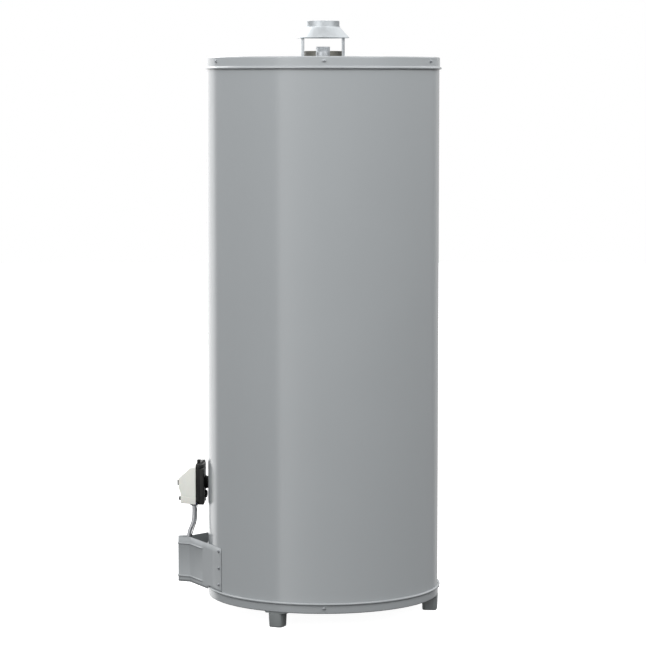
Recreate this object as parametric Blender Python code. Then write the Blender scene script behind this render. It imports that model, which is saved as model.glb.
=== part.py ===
"""Commercial tank water heater, gas fired: jacket, tank, flue with draft hood, burner and gas control.

Metres, +Z up, standing on z = 0, with the gas control and the burner shield at the front, towards -Y.
The frame's origin is the middle of the footprint's bounding box, so the tank's own axis stands a little
off it: everything is modelled round the tank's axis and hung on one empty, heater_axis.
A bearing is the angle round the tank's axis from the front, positive towards +X.
"""

from math import asin, atan2, cos, pi, radians, sin

import bmesh
import bpy
from mathutils import Matrix, Vector

# ---- Driving dimensions ---------------------------------------------------------------------------
GAP = 0.0004  # left between pieces that touch
JACKET_R = 0.3524  # 27.75 in across
SHEET = 0.001  # jacket and pans
LEG_H = 0.046
TOP_Z = 1.6846  # top face of the top pan
TOP_PAN_DEPTH, BASE_PAN_DEPTH = 0.0334, 0.0292  # from a pan's flat face to the middle of its rolled bead
BEAD_R = 0.0035
BEAD_REACH = 0.0068  # how far a bead stands out of the jacket
AXIS_SEGMENTS = 60  # big round pieces
ROUND_SEGMENTS = 24
SMALL_SEGMENTS = 12

TANK_R = 0.305
TANK_WALL = 0.003
TANK_LOW, TANK_HIGH = 0.232, 1.590  # where the shell meets its heads
DOME = 0.052  # how far a head is dished

FLUE_R = 0.0572
FLUE_WALL = 0.0025
FLUE_TOP = TOP_Z + 0.0186

NIPPLE_R = 0.0211  # 1-1/4 in pipe
NIPPLE_WALL = 0.0036
NIPPLE_TOP = TOP_Z + 0.0305
NIPPLE_SPREAD = 0.1016  # each side of the flue: 8 in between centres
FITTINGS_BEARING = radians(97)  # the top fittings stand turned 7 degrees from the control
ANODE_RADIUS = 0.149
ANODE_BEARING = radians(187)

HOOD_COLLAR_R = 0.0495  # takes a 4 in vent
HOOD_CONE_R = 0.079
HOOD_LEG_R = 0.0715
HOOD_CONE_LOW = TOP_Z + 0.0579
HOOD_CONE_HIGH = TOP_Z + 0.0912
HOOD_TOP = TOP_Z + 0.1096
HOOD_SHEET = 0.0012
HOOD_LEG_SKEW = radians(31)  # each leg's angle from the line between front and rear

SHIELD_LOW, SHIELD_HIGH = 0.0710, 0.2110
SHIELD_SHEET = 0.0012
SHIELD_FLANGE_LOW = 0.0793  # clear of the base pan's bead
SHIELD_SCREW_Z = (0.0988, 0.1498, 0.2008)
SHIELD_SCREW_BEARING = radians(34.6)

CONTROL_Z = 0.382  # middle of the shank that screws into the tank
SHANK_R = 0.0133  # 3/4 in pipe
HOUSING_BACK, HOUSING_SIDES, HOUSING_FRONT = 0.3673, 0.3745, 0.3858  # distances in front of the tank's axis
HOUSING_HALF, HOUSING_LOW, HOUSING_TOP = 0.062, 0.3176, 0.4454
INLET_REACH, INLET_Z, INLET_BOSS = 0.3700, 0.3710, 0.0012  # gas inlet, on the control's left side
GAS_LINE_Y = 0.4010  # the burner's tube leaves the control this far in front of the tank's axis
COVER_STRAIGHT, COVER_NOSE = 0.3930, 0.4440  # where the cover starts to narrow, and its nose
NOSE_LOW, COVER_BREAK = (COVER_NOSE, 0.3660), (0.4378, 0.3500)  # ends of the slope with the lens
DIAL_Z = 0.3777
DIAL_R = 0.0105
DIAL_FRONT = 0.4532
BUTTON_Z = 0.3288
BUTTON_R = 0.0063
BUTTON_FRONT = 0.4480

TP_Z = 1.5200  # relief valve, on the left side
TP_TIP = 0.4285  # its outermost point from the tank's axis
DRAIN_Z = 0.2720
DRAIN_BEARING = radians(-46)

LEG_RADIUS = 0.330
LEG_BEARINGS = (radians(73), radians(-73), radians(180))
TOP_SCREW_BEARINGS = [radians(97.5 + side + turn) for side in (0, 180) for turn in (-64.3, 0, 64.3)]
BASE_SCREW_BEARINGS = [radians(97.5 + turn) for turn in (0, 90, 180)]
PAN_SCREW_Z = (TOP_Z - 0.0136, LEG_H + 0.0167)  # in the top pan, in the base pan

BEAD_OUT = JACKET_R + BEAD_REACH
AXIS_X = (TP_TIP - BEAD_OUT) / 2  # the tank's axis from the middle of the footprint
AXIS_Y = (DIAL_FRONT - BEAD_OUT) / 2


# ---- Helpers --------------------------------------------------------------------------------------
def clear_scene():
    for old in list(bpy.data.objects):
        bpy.data.objects.remove(old)


def material(name, colour, metallic, roughness):
    made = bpy.data.materials.new(name)
    made.use_nodes = True
    shader = made.node_tree.nodes["Principled BSDF"]
    shader.inputs["Base Color"].default_value = (*colour, 1.0)
    shader.inputs["Metallic"].default_value = metallic
    shader.inputs["Roughness"].default_value = roughness
    return made


def outwards(bearing):
    """Unit direction away from the tank's axis at this bearing."""
    return Vector((sin(bearing), -cos(bearing), 0.0))


def frame_at(bearing, distance, height):
    """Matrix of a local frame on the tank's side: local +Z points outwards and local +Y points up."""
    out = outwards(bearing)
    up = Vector((0.0, 0.0, 1.0))
    side = up.cross(out)
    turned_axes = Matrix((side, up, out)).transposed().to_4x4()
    return Matrix.Translation(out * distance + up * height) @ turned_axes


def upright_at(bearing, distance, height):
    """Matrix of a local frame with +Z up and -Y pointing outwards at this bearing."""
    place = outwards(bearing) * distance + Vector((0, 0, height))
    return Matrix.Translation(place) @ Matrix.Rotation(bearing, 4, "Z")


def node(name, bm, look, place=None, smooth_angle=radians(35)):
    """Turns a bmesh into a named part, hung on the tank's axis at a matrix."""
    bmesh.ops.recalc_face_normals(bm, faces=bm.faces)
    mesh = bpy.data.meshes.new(name)
    bm.to_mesh(mesh)
    bm.free()
    mesh.shade_smooth()
    mesh.set_sharp_from_angle(angle=smooth_angle)
    mesh.materials.append(look)
    made = bpy.data.objects.new(name, mesh)
    bpy.context.scene.collection.objects.link(made)
    made.parent = heater_axis
    made.matrix_local = place or Matrix()
    return made


def turned(profile, segments):
    """A closed body spun once round Z from a closed outline of (radius, height) points."""
    bm = bmesh.new()
    points = [bm.verts.new((r, 0.0, z)) for r, z in profile]
    pairs = zip(points, points[1:] + points[:1])
    edges = [bm.edges.new(pair) for pair in pairs if pair[0].co.x > 0 or pair[1].co.x > 0]
    geometry = points + edges
    middle, up = (0, 0, 0), (0, 0, 1)
    bmesh.ops.spin(bm, geom=geometry, cent=middle, axis=up, angle=2 * pi, steps=segments, use_merge=True)
    bmesh.ops.remove_doubles(bm, verts=bm.verts, dist=1e-6)
    return bm


def tube(outer, inner, low, high, segments):
    """A plain tube, or a rod if inner is 0."""
    return turned([(inner, low), (outer, low), (outer, high), (inner, high)], segments)


def prism(outline, low, high):
    """An outline of (x, y) points extruded along Z from low to high."""
    bm = bmesh.new()
    base = bm.faces.new([bm.verts.new((x, y, low)) for x, y in outline])
    grown = bmesh.ops.extrude_face_region(bm, geom=[base])
    top = [item for item in grown["geom"] if isinstance(item, bmesh.types.BMVert)]
    bmesh.ops.translate(bm, verts=top, vec=(0, 0, high - low))
    return bm


def ring(radius, count, start=0.0):
    angles = [start + 2 * pi * i / count for i in range(count)]
    return [(radius * cos(angle), radius * sin(angle)) for angle in angles]


def rounded_box(width, depth, corner, steps=3):
    """Outline of a rectangle with round corners, centred on the origin."""
    outline = []
    for quarter, (sx, sy) in enumerate(((1, 1), (-1, 1), (-1, -1), (1, -1))):
        for i in range(steps + 1):
            angle = pi / 2 * (quarter + i / steps)
            x = sx * (width / 2 - corner) + corner * cos(angle)
            outline.append((x, sy * (depth / 2 - corner) + corner * sin(angle)))
    return outline


def add_part(bm, other, place=None):
    """Puts another closed shape into the same mesh, for a cutter with several bodies."""
    if place is not None:
        bmesh.ops.transform(other, matrix=place, verts=other.verts)
    bmesh.ops.recalc_face_normals(other, faces=other.faces)
    spare = bpy.data.meshes.new("spare")
    other.to_mesh(spare)
    other.free()
    bm.from_mesh(spare)
    bpy.data.meshes.remove(spare)
    return bm


def helper(name, bm, place=None):
    """A shape that only cuts or joins, which the model leaves out."""
    made = node(name, bm, steel, place)
    made.hide_render = True
    made.display_type = "WIRE"
    return made


def boolean(target, other, operation="DIFFERENCE"):
    modifier = target.modifiers.new(other.name, "BOOLEAN")
    modifier.operation = operation
    modifier.solver = "EXACT"
    modifier.object = other


def drill(targets, name, radius, low, high, place, segments=ROUND_SEGMENTS):
    """Cuts one round hole, along local Z from low to high, through every target."""
    cutter = helper(name, tube(radius, 0, low, high, segments), place)
    for target in targets:
        boolean(target, cutter)


def pipe(name, route, radius, look, sides=12):
    """A round tube or lead along a smooth curve through the points of its route."""
    curve = bpy.data.curves.new(name, "CURVE")
    curve.dimensions = "3D"
    curve.bevel_depth = radius
    curve.bevel_resolution = sides // 4 - 1
    curve.use_fill_caps = True
    points = smooth_route(route, spacing=0.014)
    spline = curve.splines.new("POLY")
    spline.points.add(len(points) - 1)
    for point, place in zip(spline.points, points):
        point.co = (*place, 1.0)
    curve.materials.append(look)
    made = bpy.data.objects.new(name, curve)
    bpy.context.scene.collection.objects.link(made)
    made.parent = heater_axis
    return made


def smooth_route(route, spacing):
    """Points about one spacing apart on a Catmull-Rom curve through the route."""
    knots = [Vector(point) for point in route]
    knots = [2 * knots[0] - knots[1], *knots, 2 * knots[-1] - knots[-2]]
    points = []
    for a, b, c, d in zip(knots, knots[1:], knots[2:], knots[3:]):
        count = max(1, round((c - b).length / spacing))
        for i in range(count):
            t = i / count
            bend, twist = 2 * a - 5 * b + 4 * c - d, 3 * b - a - 3 * c + d
            points.append(0.5 * (2 * b + (c - a) * t + bend * t**2 + twist * t**3))
    return [*points, knots[-2]]


# ---- Jacket, pans and legs ------------------------------------------------------------------------
def make_jacket():
    low, high = LEG_H + 0.010, TOP_Z - SHEET - 0.004
    jacket = node("jacket", tube(JACKET_R, JACKET_R - SHEET, low, high, AXIS_SEGMENTS), grey_paint)
    opening = prism(rounded_box(0.200, 0.090, 0.012), -0.03, 0.03)
    window = helper("burner_window", opening, frame_at(0, JACKET_R, 0.145))
    boolean(jacket, window)
    return jacket


def pan_profile(flat, towards, depth):
    """Outline of a pan: flat face, rounded rim, skirt and rolled bead. towards is +1 if the skirt rises."""
    inner = JACKET_R + GAP
    outer = inner + SHEET
    corner = 0.004
    bead_z = flat + towards * depth
    bead_mid = BEAD_OUT - BEAD_R * cos(radians(30))
    rim = [
        (outer - corner + corner * sin(a), flat + towards * corner * (1 - cos(a)))
        for a in (0, radians(45), radians(90))
    ]
    roll = [
        (bead_mid + BEAD_R * cos(a), bead_z + towards * BEAD_R * sin(a))
        for a in (radians(-80), radians(-30), radians(30), radians(90))
    ]
    inside = [(inner, bead_z + towards * BEAD_R), (inner, flat + towards * SHEET)]
    return rim + [(outer, bead_z - towards * (BEAD_R + 0.001))] + roll + inside


def make_pans():
    centre = [(0, TOP_Z - SHEET), (0, TOP_Z)]
    top = node("top_pan", turned(centre + pan_profile(TOP_Z, -1, TOP_PAN_DEPTH), AXIS_SEGMENTS), grey_paint)
    air_hole = 0.110
    centre = [(air_hole, LEG_H + SHEET), (air_hole, LEG_H)]
    base = node("base_pan", turned(centre + pan_profile(LEG_H, 1, BASE_PAN_DEPTH), AXIS_SEGMENTS), grey_paint)
    return top, base


def make_legs():
    """Tapered feet under the rim, each with a flange against the base pan."""
    levels = ((0.000, 0.88), (0.003, 0.93), (LEG_H - 0.006, 1.0), (LEG_H - 0.003, 1.0))
    outline = [Vector((x, y, 0)) for x, y in rounded_box(0.046, 0.048, 0.010, steps=2)]
    flange = 1.12
    for name, bearing in zip(("leg_right", "leg_left", "leg_rear"), LEG_BEARINGS):
        bm = bmesh.new()
        loops = [[bm.verts.new(p * scale + Vector((0, 0, z))) for p in outline] for z, scale in levels]
        for z in (LEG_H - 0.003, LEG_H - GAP):
            widened = [Vector((p.x * flange * 1.35, p.y * 0.99, z)) for p in outline]
            loops.append([bm.verts.new(p) for p in widened])
        for lower, upper in zip(loops, loops[1:]):
            for i in range(len(outline)):
                j = (i + 1) % len(outline)
                bm.faces.new((lower[i], lower[j], upper[j], upper[i]))
        bm.faces.new(loops[0])
        bm.faces.new(loops[-1])
        node(name, bm, leg_grey, upright_at(bearing, LEG_RADIUS, 0))


# ---- Tank and insulation --------------------------------------------------------------------------
def head_profile(edge, rise, steps=5):
    """Outline of a dished head: rise is how far its middle lies above its edge, and may be negative."""
    radius = TANK_R - 0.0004
    top = [(radius * cos(pi / 2 * i / steps), edge + rise * sin(pi / 2 * i / steps)) for i in range(steps)]
    inner = [(r * (1 - TANK_WALL / radius), z - TANK_WALL) for r, z in top]
    return top + [(0, edge + rise), (0, edge + rise - TANK_WALL)] + inner[::-1]


def make_tank():
    cylinder = tube(TANK_R, TANK_R - TANK_WALL, TANK_LOW, TANK_HIGH, AXIS_SEGMENTS)
    shell = node("tank_shell", cylinder, tank_steel)
    top_edge = TANK_HIGH + TANK_WALL + GAP
    top = node("tank_top_head", turned(head_profile(top_edge, DOME), ROUND_SEGMENTS), tank_steel)
    bottom_edge = TANK_LOW - GAP
    shallow = turned(head_profile(bottom_edge, -DOME * 0.5), ROUND_SEGMENTS)
    bottom = node("tank_bottom_head", shallow, tank_steel)
    skirt_low, skirt_high = LEG_H + SHEET + GAP, TANK_LOW - TANK_WALL - 2 * GAP
    cylinder = tube(TANK_R, TANK_R - 0.002, skirt_low, skirt_high, AXIS_SEGMENTS)
    skirt = node("combustion_skirt", cylinder, tank_steel)
    opening = prism(rounded_box(0.190, 0.086, 0.012), -0.03, 0.03)
    window = helper("skirt_window", opening, frame_at(0, TANK_R, 0.145))
    boolean(skirt, window)
    foam_low = 0.236
    foam_high = TOP_Z - 0.050
    foam_bm = tube(JACKET_R - SHEET - GAP, TANK_R + GAP, foam_low, foam_high, AXIS_SEGMENTS)
    foam = node("foam_insulation", foam_bm, foam_yellow)
    return shell, top, bottom, foam


def make_flue(top_head, bottom_head, top_pan):
    low = TANK_LOW - DOME * 0.5 - TANK_WALL - 0.004
    node("flue_tube", tube(FLUE_R, FLUE_R - FLUE_WALL, low, FLUE_TOP, ROUND_SEGMENTS), flue_black)
    drill([top_head, bottom_head, top_pan], "flue_hole", FLUE_R + 0.0008, 0.1, 1.8, Matrix())
    baffle = bmesh.new()
    half, thick, pitch, count = 0.043, 0.0008, 0.058, 22
    left, right = [], []
    for i in range(count + 1):
        side = -half if i % 2 else -half + 0.012
        left.append((side, low + 0.03 + i * pitch))
        right.append((-side, low + 0.03 + i * pitch))
    face = baffle.faces.new([baffle.verts.new((x, -thick, z)) for x, z in left + right[::-1]])
    grown = bmesh.ops.extrude_face_region(baffle, geom=[face])
    moved = [item for item in grown["geom"] if isinstance(item, bmesh.types.BMVert)]
    bmesh.ops.translate(baffle, verts=moved, vec=(0, 2 * thick, 0))
    node("flue_baffle", baffle, tank_steel)


# ---- Top fittings ---------------------------------------------------------------------------------
def make_top_fittings(top_head, top_pan):
    head_z = TANK_HIGH + 0.010
    pipe_bore = NIPPLE_R - NIPPLE_WALL
    for name, side in (("hot_nipple", 1), ("cold_nipple", -1)):
        place = Matrix.Translation(outwards(FITTINGS_BEARING) * NIPPLE_SPREAD * side)
        node(name, tube(NIPPLE_R, pipe_bore, head_z, NIPPLE_TOP, ROUND_SEGMENTS), zinc, place)
        drill([top_head], f"{name}_head_hole", NIPPLE_R + 0.0006, 1.5, 1.68, place)
        drill([top_pan], f"{name}_pan_hole", NIPPLE_R + 0.0030, 1.67, 1.70, place)
    dip_r, dip_wall, dip_low = 0.0125, 0.0025, 0.46
    cold = Matrix.Translation(outwards(FITTINGS_BEARING) * -NIPPLE_SPREAD)
    node("dip_tube", tube(dip_r, dip_r - dip_wall, dip_low, head_z + 0.05, SMALL_SEGMENTS), dip_plastic, cold)

    place = Matrix.Translation(outwards(ANODE_BEARING) * ANODE_RADIUS)
    rod_low, rod_r, hex_r = 0.44, 0.0105, 0.0175
    hex_low, hex_high = TANK_HIGH + DOME + 0.006, TOP_Z - 0.022
    profile = [(0, rod_low), (rod_r, rod_low), (rod_r, hex_low)]
    profile += [(hex_r, hex_low), (hex_r, hex_high), (0, hex_high)]
    node("anode_rod", turned(profile, 6), zinc, place)
    drill([top_head], "anode_head_hole", rod_r + 0.0008, 1.5, 1.68, place, SMALL_SEGMENTS)
    cap_r, cap_high, plug_r, cap_wall = 0.035, 0.0075, 0.029, 0.002
    dome = [(cap_r * cos(radians(a)), TOP_Z + GAP + cap_high * sin(radians(a))) for a in (0, 20, 40, 60, 80)]
    plug_low = TOP_Z - 0.012
    profile = dome + [
        (0, TOP_Z + GAP + cap_high),
        (0, TOP_Z + cap_high - cap_wall),
        (plug_r - cap_wall, TOP_Z + cap_high - cap_wall - 0.002),
        (plug_r - cap_wall, plug_low),
        (plug_r, plug_low),
        (plug_r, TOP_Z + GAP),
    ]
    node("anode_cap", turned(profile, ROUND_SEGMENTS), cap_white, place)
    drill([top_pan], "anode_pan_hole", plug_r + GAP, 1.67, 1.70, place)


def make_draft_hood():
    wall = HOOD_SHEET
    lip = 0.0022
    cone = [
        (HOOD_CONE_R, HOOD_CONE_LOW),
        (HOOD_CONE_R + 0.001, HOOD_CONE_LOW + lip / 2),
        (HOOD_CONE_R, HOOD_CONE_LOW + lip),
        (HOOD_COLLAR_R + wall + GAP + 0.007, HOOD_CONE_HIGH - 0.009),
        (HOOD_COLLAR_R + wall + GAP, HOOD_CONE_HIGH - 0.001),
        (HOOD_COLLAR_R + wall + GAP, HOOD_CONE_HIGH + 0.002),
        (HOOD_COLLAR_R + GAP, HOOD_CONE_HIGH + 0.002),
        (HOOD_COLLAR_R + GAP, HOOD_CONE_HIGH - 0.0015),
        (HOOD_COLLAR_R + GAP + 0.0066, HOOD_CONE_HIGH - 0.0100),
        (HOOD_CONE_R - 0.0015, HOOD_CONE_LOW),
    ]
    node("hood_cone", turned(cone, AXIS_SEGMENTS // 2), galvanised)
    low = HOOD_CONE_HIGH - 0.004
    collar = tube(HOOD_COLLAR_R, HOOD_COLLAR_R - 0.0009, low, HOOD_TOP, AXIS_SEGMENTS // 2)
    node("hood_collar", collar, galvanised)

    width, thick, kick = 0.0150, HOOD_SHEET, 0.0100
    low, high = TOP_Z + GAP, HOOD_CONE_LOW - GAP
    strip = [(kick, low + thick), (thick / 2 + 0.0008, low + thick), (thick / 2, low + thick + 0.0008)]
    strip += [(thick / 2, high), (-thick / 2, high), (-thick / 2, low), (kick, low)]
    upright = Matrix(((0, 0, 1, 0), (-1, 0, 0, 0), (0, 1, 0, 0), (0, 0, 0, 1)))  # takes (outward, up) points
    for number in range(4):
        skew = HOOD_LEG_SKEW if number < 2 else -HOOD_LEG_SKEW
        bearing = FITTINGS_BEARING - pi / 2 + skew + (pi if number % 2 else 0)
        bm = prism(strip, -width / 2, width / 2)
        bmesh.ops.transform(bm, matrix=upright, verts=bm.verts)
        node(f"hood_leg_{number + 1}", bm, galvanised, upright_at(bearing, HOOD_LEG_R, 0))


# ---- Burner compartment ---------------------------------------------------------------------------
def shield_plan():
    """The shield's plan from its left edge to its right: flange, wing, prow, wing, flange, as (x, y)."""
    flange_r = JACKET_R + 2 * GAP + SHIELD_SHEET / 2
    flange_end, flange_start = radians(36.9), radians(26.0)
    flange = [flange_end + (flange_start - flange_end) * i / 3 for i in range(4)]
    right = [(flange_r * sin(a), -flange_r * cos(a)) for a in flange]
    corner, root = right[-1], (0.0185, -0.4110)
    bead_clear, rib_end = 0.24, 0.37  # shares of the wing's length, from its flange
    for t in (bead_clear, rib_end, 1.0):
        right.append((corner[0] + (root[0] - corner[0]) * t, corner[1] + (root[1] - corner[1]) * t))
    right += [(0.0085, -0.4465), (0.0035, -0.4508)]
    return [(-x, y) for x, y in right] + right[::-1]


def make_shield():
    """Bent sheet round the burner opening, open above and below, with two pressed ribs."""
    plan = shield_plan()
    rib_half, rib_rise = 0.0035, 0.0026
    ribs = (SHIELD_LOW + 0.0175, SHIELD_HIGH - 0.0215)
    levels = [(SHIELD_LOW, 0), (SHIELD_FLANGE_LOW, 0)]
    for middle in ribs:
        levels += [(middle - rib_half, 0), (middle, rib_rise), (middle + rib_half, 0)]
    levels += [(SHIELD_HIGH, 0)]
    plain_columns, raised_columns = 4, 5  # at each end: over the pan's bead, and without ribs
    bm = bmesh.new()
    grid = []
    for z, rise in levels:
        row = []
        for i, (x, y) in enumerate(plan):
            inside = raised_columns + 1 <= i < len(plan) - raised_columns - 1
            away = Vector((x, y + 0.36, 0)).normalized() if inside else Vector()
            row.append(bm.verts.new(Vector((x, y, z)) + away * rise))
        grid.append(row)
    for level, (lower, upper) in enumerate(zip(grid, grid[1:])):
        for i in range(len(plan) - 1):
            over_bead = i < plain_columns or i >= len(plan) - plain_columns - 1
            if level == 0 and over_bead:
                continue
            bm.faces.new((lower[i], lower[i + 1], upper[i + 1], upper[i]))
    loose = [v for v in bm.verts if not v.link_faces]
    bmesh.ops.delete(bm, geom=loose, context="VERTS")
    shield = node("burner_shield", bm, grey_paint)
    solid = shield.modifiers.new("sheet", "SOLIDIFY")
    solid.thickness = SHIELD_SHEET
    solid.offset = 0
    solid.use_even_offset = True
    return shield


def make_burner_door():
    """Curved plate over the burner opening, inside the shield, with holes for the tubes and a sight hole."""
    inner, outer = JACKET_R + GAP, JACKET_R + GAP + 0.0015
    half_angle, steps = radians(18.5), 8
    angles = [-half_angle + 2 * half_angle * i / steps for i in range(steps + 1)]
    outline = [(outer * sin(a), -outer * cos(a)) for a in angles]
    outline += [(inner * sin(a), -inner * cos(a)) for a in reversed(angles)]
    door = node("burner_door", prism(outline, 0.0900, 0.2000), grey_paint)
    holes = bmesh.new()
    for x, z, radius in ((0, 0.142, 0.0095), (-0.020, 0.150, 0.0045), (0.020, 0.150, 0.0032), (0.055, 0.150, 0.0120)):
        shape = tube(radius, 0, -0.01, 0.01, SMALL_SEGMENTS)
        add_part(holes, shape, Matrix.Translation((x, -JACKET_R, z)) @ Matrix.Rotation(pi / 2, 4, "X"))
    boolean(door, helper("burner_door_holes", holes))
    glass = [(0, -0.0012), (0.0114, -0.0012), (0.0114, 0.0012), (0, 0.0012)]
    glass_bearing = asin(0.055 / (JACKET_R + 0.0012))
    place = frame_at(glass_bearing, (inner + outer) / 2, 0.150)
    node("sight_glass", turned(glass, ROUND_SEGMENTS), clear_glass, place)


def make_burner():
    """Round burner with its mixer tube, on a floor shield, with the pilot beside it."""
    burner_z = 0.128
    pan = [(0, burner_z - 0.012), (0.080, burner_z - 0.012), (0.118, burner_z - 0.002), (0.118, burner_z + 0.004)]
    pan += [(0.090, burner_z + 0.010), (0.045, burner_z + 0.006), (0, burner_z + 0.006)]
    burner = node("burner", turned(pan, ROUND_SEGMENTS), cast_iron)
    mixer_place = Matrix.Translation((0, 0, burner_z - 0.004)) @ Matrix.Rotation(pi / 2, 4, "X")
    mixer = helper("mixer_tube", tube(0.014, 0, 0.06, 0.200, SMALL_SEGMENTS), mixer_place)
    boolean(burner, mixer, "UNION")
    mouth = helper("mixer_mouth", tube(0.0105, 0, 0.150, 0.21, SMALL_SEGMENTS), mixer_place)
    boolean(burner, mouth)
    floor_low = LEG_H + SHEET + 0.018
    floor = [(0.0, floor_low), (0.26, floor_low), (0.26, floor_low + 0.008), (0.258, floor_low + 0.008)]
    floor += [(0.258, floor_low + 0.0015), (0.0, floor_low + 0.0015)]
    node("floor_shield", turned(floor, ROUND_SEGMENTS), galvanised)
    pilot = rounded_box(0.022, 0.030, 0.004, steps=1)
    pilot_place = Matrix.Translation((-0.006, -0.148, 0))
    node("pilot_assembly", prism(pilot, burner_z + 0.012, burner_z + 0.040), zinc, pilot_place)


def make_gas_lines():
    """The manifold tube to the burner, with the pilot's tube beside it and the igniter's lead behind it."""
    top = HOUSING_LOW - GAP
    y = -GAS_LINE_Y
    nut_place = Matrix.Translation((0, y, 0))
    nut = node("manifold_nut", prism(ring(0.0137, 6), top - 0.008, top), zinc, nut_place)
    drill([nut], "manifold_nut_bore", 0.0068, top - 0.02, top + 0.01, nut_place)
    main = [(0, y, top - 0.001), (0, y, 0.285), (0, y - 0.0028, 0.257), (0, y - 0.0143, 0.226)]
    main += [(0, y - 0.0168, 0.198), (0, -0.4030, 0.163), (0, -0.3750, 0.145), (0, -0.3400, 0.141)]
    main += [(0, -0.2700, 0.131), (0, -0.2060, 0.124)]
    pipe("manifold_tube", main, 0.0063, tube_silver, 12)
    x = -0.0178
    side = [(x, y, top - 0.001), (x, y, 0.295), (-0.0130, y - 0.0025, 0.262), (-0.0100, y - 0.0118, 0.230)]
    side += [(-0.0105, y - 0.0110, 0.198), (-0.0190, -0.3850, 0.163), (-0.0200, -0.3500, 0.150)]
    side += [(-0.0120, -0.1740, 0.150)]
    pipe("pilot_tube", side, 0.0027, tube_silver, 8)
    lead = [(-0.0121, y + 0.0070, top - 0.001), (-0.0112, y + 0.0070, 0.303), (-0.0060, y + 0.0064, 0.287)]
    lead += [(-0.0050, y + 0.0048, 0.257), (-0.0020, y - 0.0050, 0.226), (0.0100, y - 0.0080, 0.198)]
    lead += [(0.0185, -0.3850, 0.163), (0.0200, -0.3500, 0.150), (0.0030, -0.1740, 0.150)]
    pipe("igniter_lead", lead, 0.0015, lead_black, 8)


# ---- Gas control ----------------------------------------------------------------------------------
def make_control(shell, foam, jacket):
    """Housing, cover, shank, gas inlet, dial, lens and button. Local Z of their frame points forward."""
    front = frame_at(0, 0, 0)
    half, top = HOUSING_HALF, HOUSING_TOP
    upper = [(half, top - 0.0100), (half - 0.0065, top - 0.0026), (0.034, top)]
    lower = [(half - 0.008, HOUSING_LOW), (half, HOUSING_LOW + 0.010)]
    right = lower + upper
    outline = right + [(-x, z) for x, z in right[::-1]]
    housing = node("control_housing", prism(outline, HOUSING_SIDES, HOUSING_FRONT), control_black, front)
    bevel = housing.modifiers.new("edges", "BEVEL")
    bevel.width = 0.003
    bevel.segments = 2
    bevel.limit_method = "ANGLE"
    wide = [(0.058, HOUSING_SIDES + 0.001), (-0.058, HOUSING_SIDES + 0.001)]
    plan = [wide[0], (0.021, HOUSING_BACK), (-0.021, HOUSING_BACK), wide[1]]
    standing = Matrix(((1, 0, 0, 0), (0, 0, 1, 0), (0, 1, 0, 0), (0, 0, 0, 1)))  # takes (sideways, outward) outlines
    hump = prism(plan, HOUSING_LOW + 0.002, top - 0.0060)
    bmesh.ops.transform(hump, matrix=standing, verts=hump.verts)
    boolean(housing, helper("housing_hump", hump, front), "UNION")
    deep = HOUSING_BACK - 0.0033  # the right half is deeper than the left
    plan = [(0.0600, HOUSING_SIDES + 0.002), (0.0600, deep - 0.0034)]
    plan += [(0.0050, deep + 0.0022), (0.0050, HOUSING_SIDES + 0.002)]
    deeper = prism(plan, HOUSING_LOW + 0.0008, top - 0.0164)
    bmesh.ops.transform(deeper, matrix=standing, verts=deeper.verts)
    boolean(housing, helper("housing_deep_side", deeper, front), "UNION")
    shank = Matrix.Translation((0, CONTROL_Z, 0))
    boss = [(0, HOUSING_BACK + 0.007), (0, 0.3535), (0.0162, 0.3535), (0.0190, 0.3590)]
    boss += [(0.0280, HOUSING_BACK + 0.001), (0.0280, HOUSING_BACK + 0.007)]
    boolean(housing, helper("housing_boss", turned(boss, ROUND_SEGMENTS), front @ shank), "UNION")
    inlet_place = Matrix.Translation((-half - INLET_BOSS, INLET_Z, INLET_REACH)) @ Matrix.Rotation(-pi / 2, 4, "Y")
    bosses = add_part(bmesh.new(), tube(0.0155, 0, -0.032, 0, ROUND_SEGMENTS), inlet_place)
    plug = [(0, HOUSING_BACK + 0.006), (0, 0.3598), (0.0104, 0.3598), (0.0118, 0.3615)]
    plug.append((0.0118, HOUSING_BACK + 0.006))
    add_part(bosses, turned(plug, ROUND_SEGMENTS), Matrix.Translation((0, 0.3445, 0)))
    nub = [(x + 0.032, z + top + 0.0042) for x, z in rounded_box(0.014, 0.0110, 0.002, 1)]
    add_part(bosses, prism(nub, HOUSING_SIDES + 0.0012, HOUSING_FRONT - 0.0004))
    boolean(housing, helper("housing_bosses", bosses, front), "UNION")

    spud = [(0, 0.120), (0.0070, 0.120), (0.0070, 0.290), (SHANK_R, 0.296), (SHANK_R, 0.3760), (0, 0.3760)]
    node("control_spud", turned(spud, ROUND_SEGMENTS), brass, front @ shank)
    drill([shell, foam, jacket], "spud_hole", SHANK_R + 0.0007, 0.28, 0.36, front @ shank)

    inlet = [(0.0105, 0.0), (0.0150, 0.0), (0.0150, 0.014), (0.0138, 0.016), (0.0105, 0.016)]
    node("gas_inlet", turned(inlet, ROUND_SEGMENTS), zinc, front @ inlet_place @ Matrix.Translation((0, 0, GAP)))
    bores = add_part(bmesh.new(), tube(0.0105, 0, -0.012, 0.004, ROUND_SEGMENTS), inlet_place)
    add_part(bores, tube(SHANK_R + 0.0007, 0, 0.34, 0.3765, ROUND_SEGMENTS), shank)
    boolean(housing, helper("housing_bores", bores, front))
    make_cover(front)
    make_controls(front)


def cover_side():
    """The cover's side view, as (distance forward, height) from its back edge over the nose and under."""
    base = HOUSING_FRONT + GAP
    return [
        (base, 0.4330),
        (COVER_STRAIGHT, 0.4330),
        (0.4055, 0.4303),
        (0.4420, 0.3966),
        (COVER_NOSE, 0.3942),
        NOSE_LOW,
        COVER_BREAK,
        (0.4368, 0.3208),
        (0.4350, 0.3188),
        (COVER_STRAIGHT, 0.3188),
        (base, 0.3188),
    ]


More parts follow.
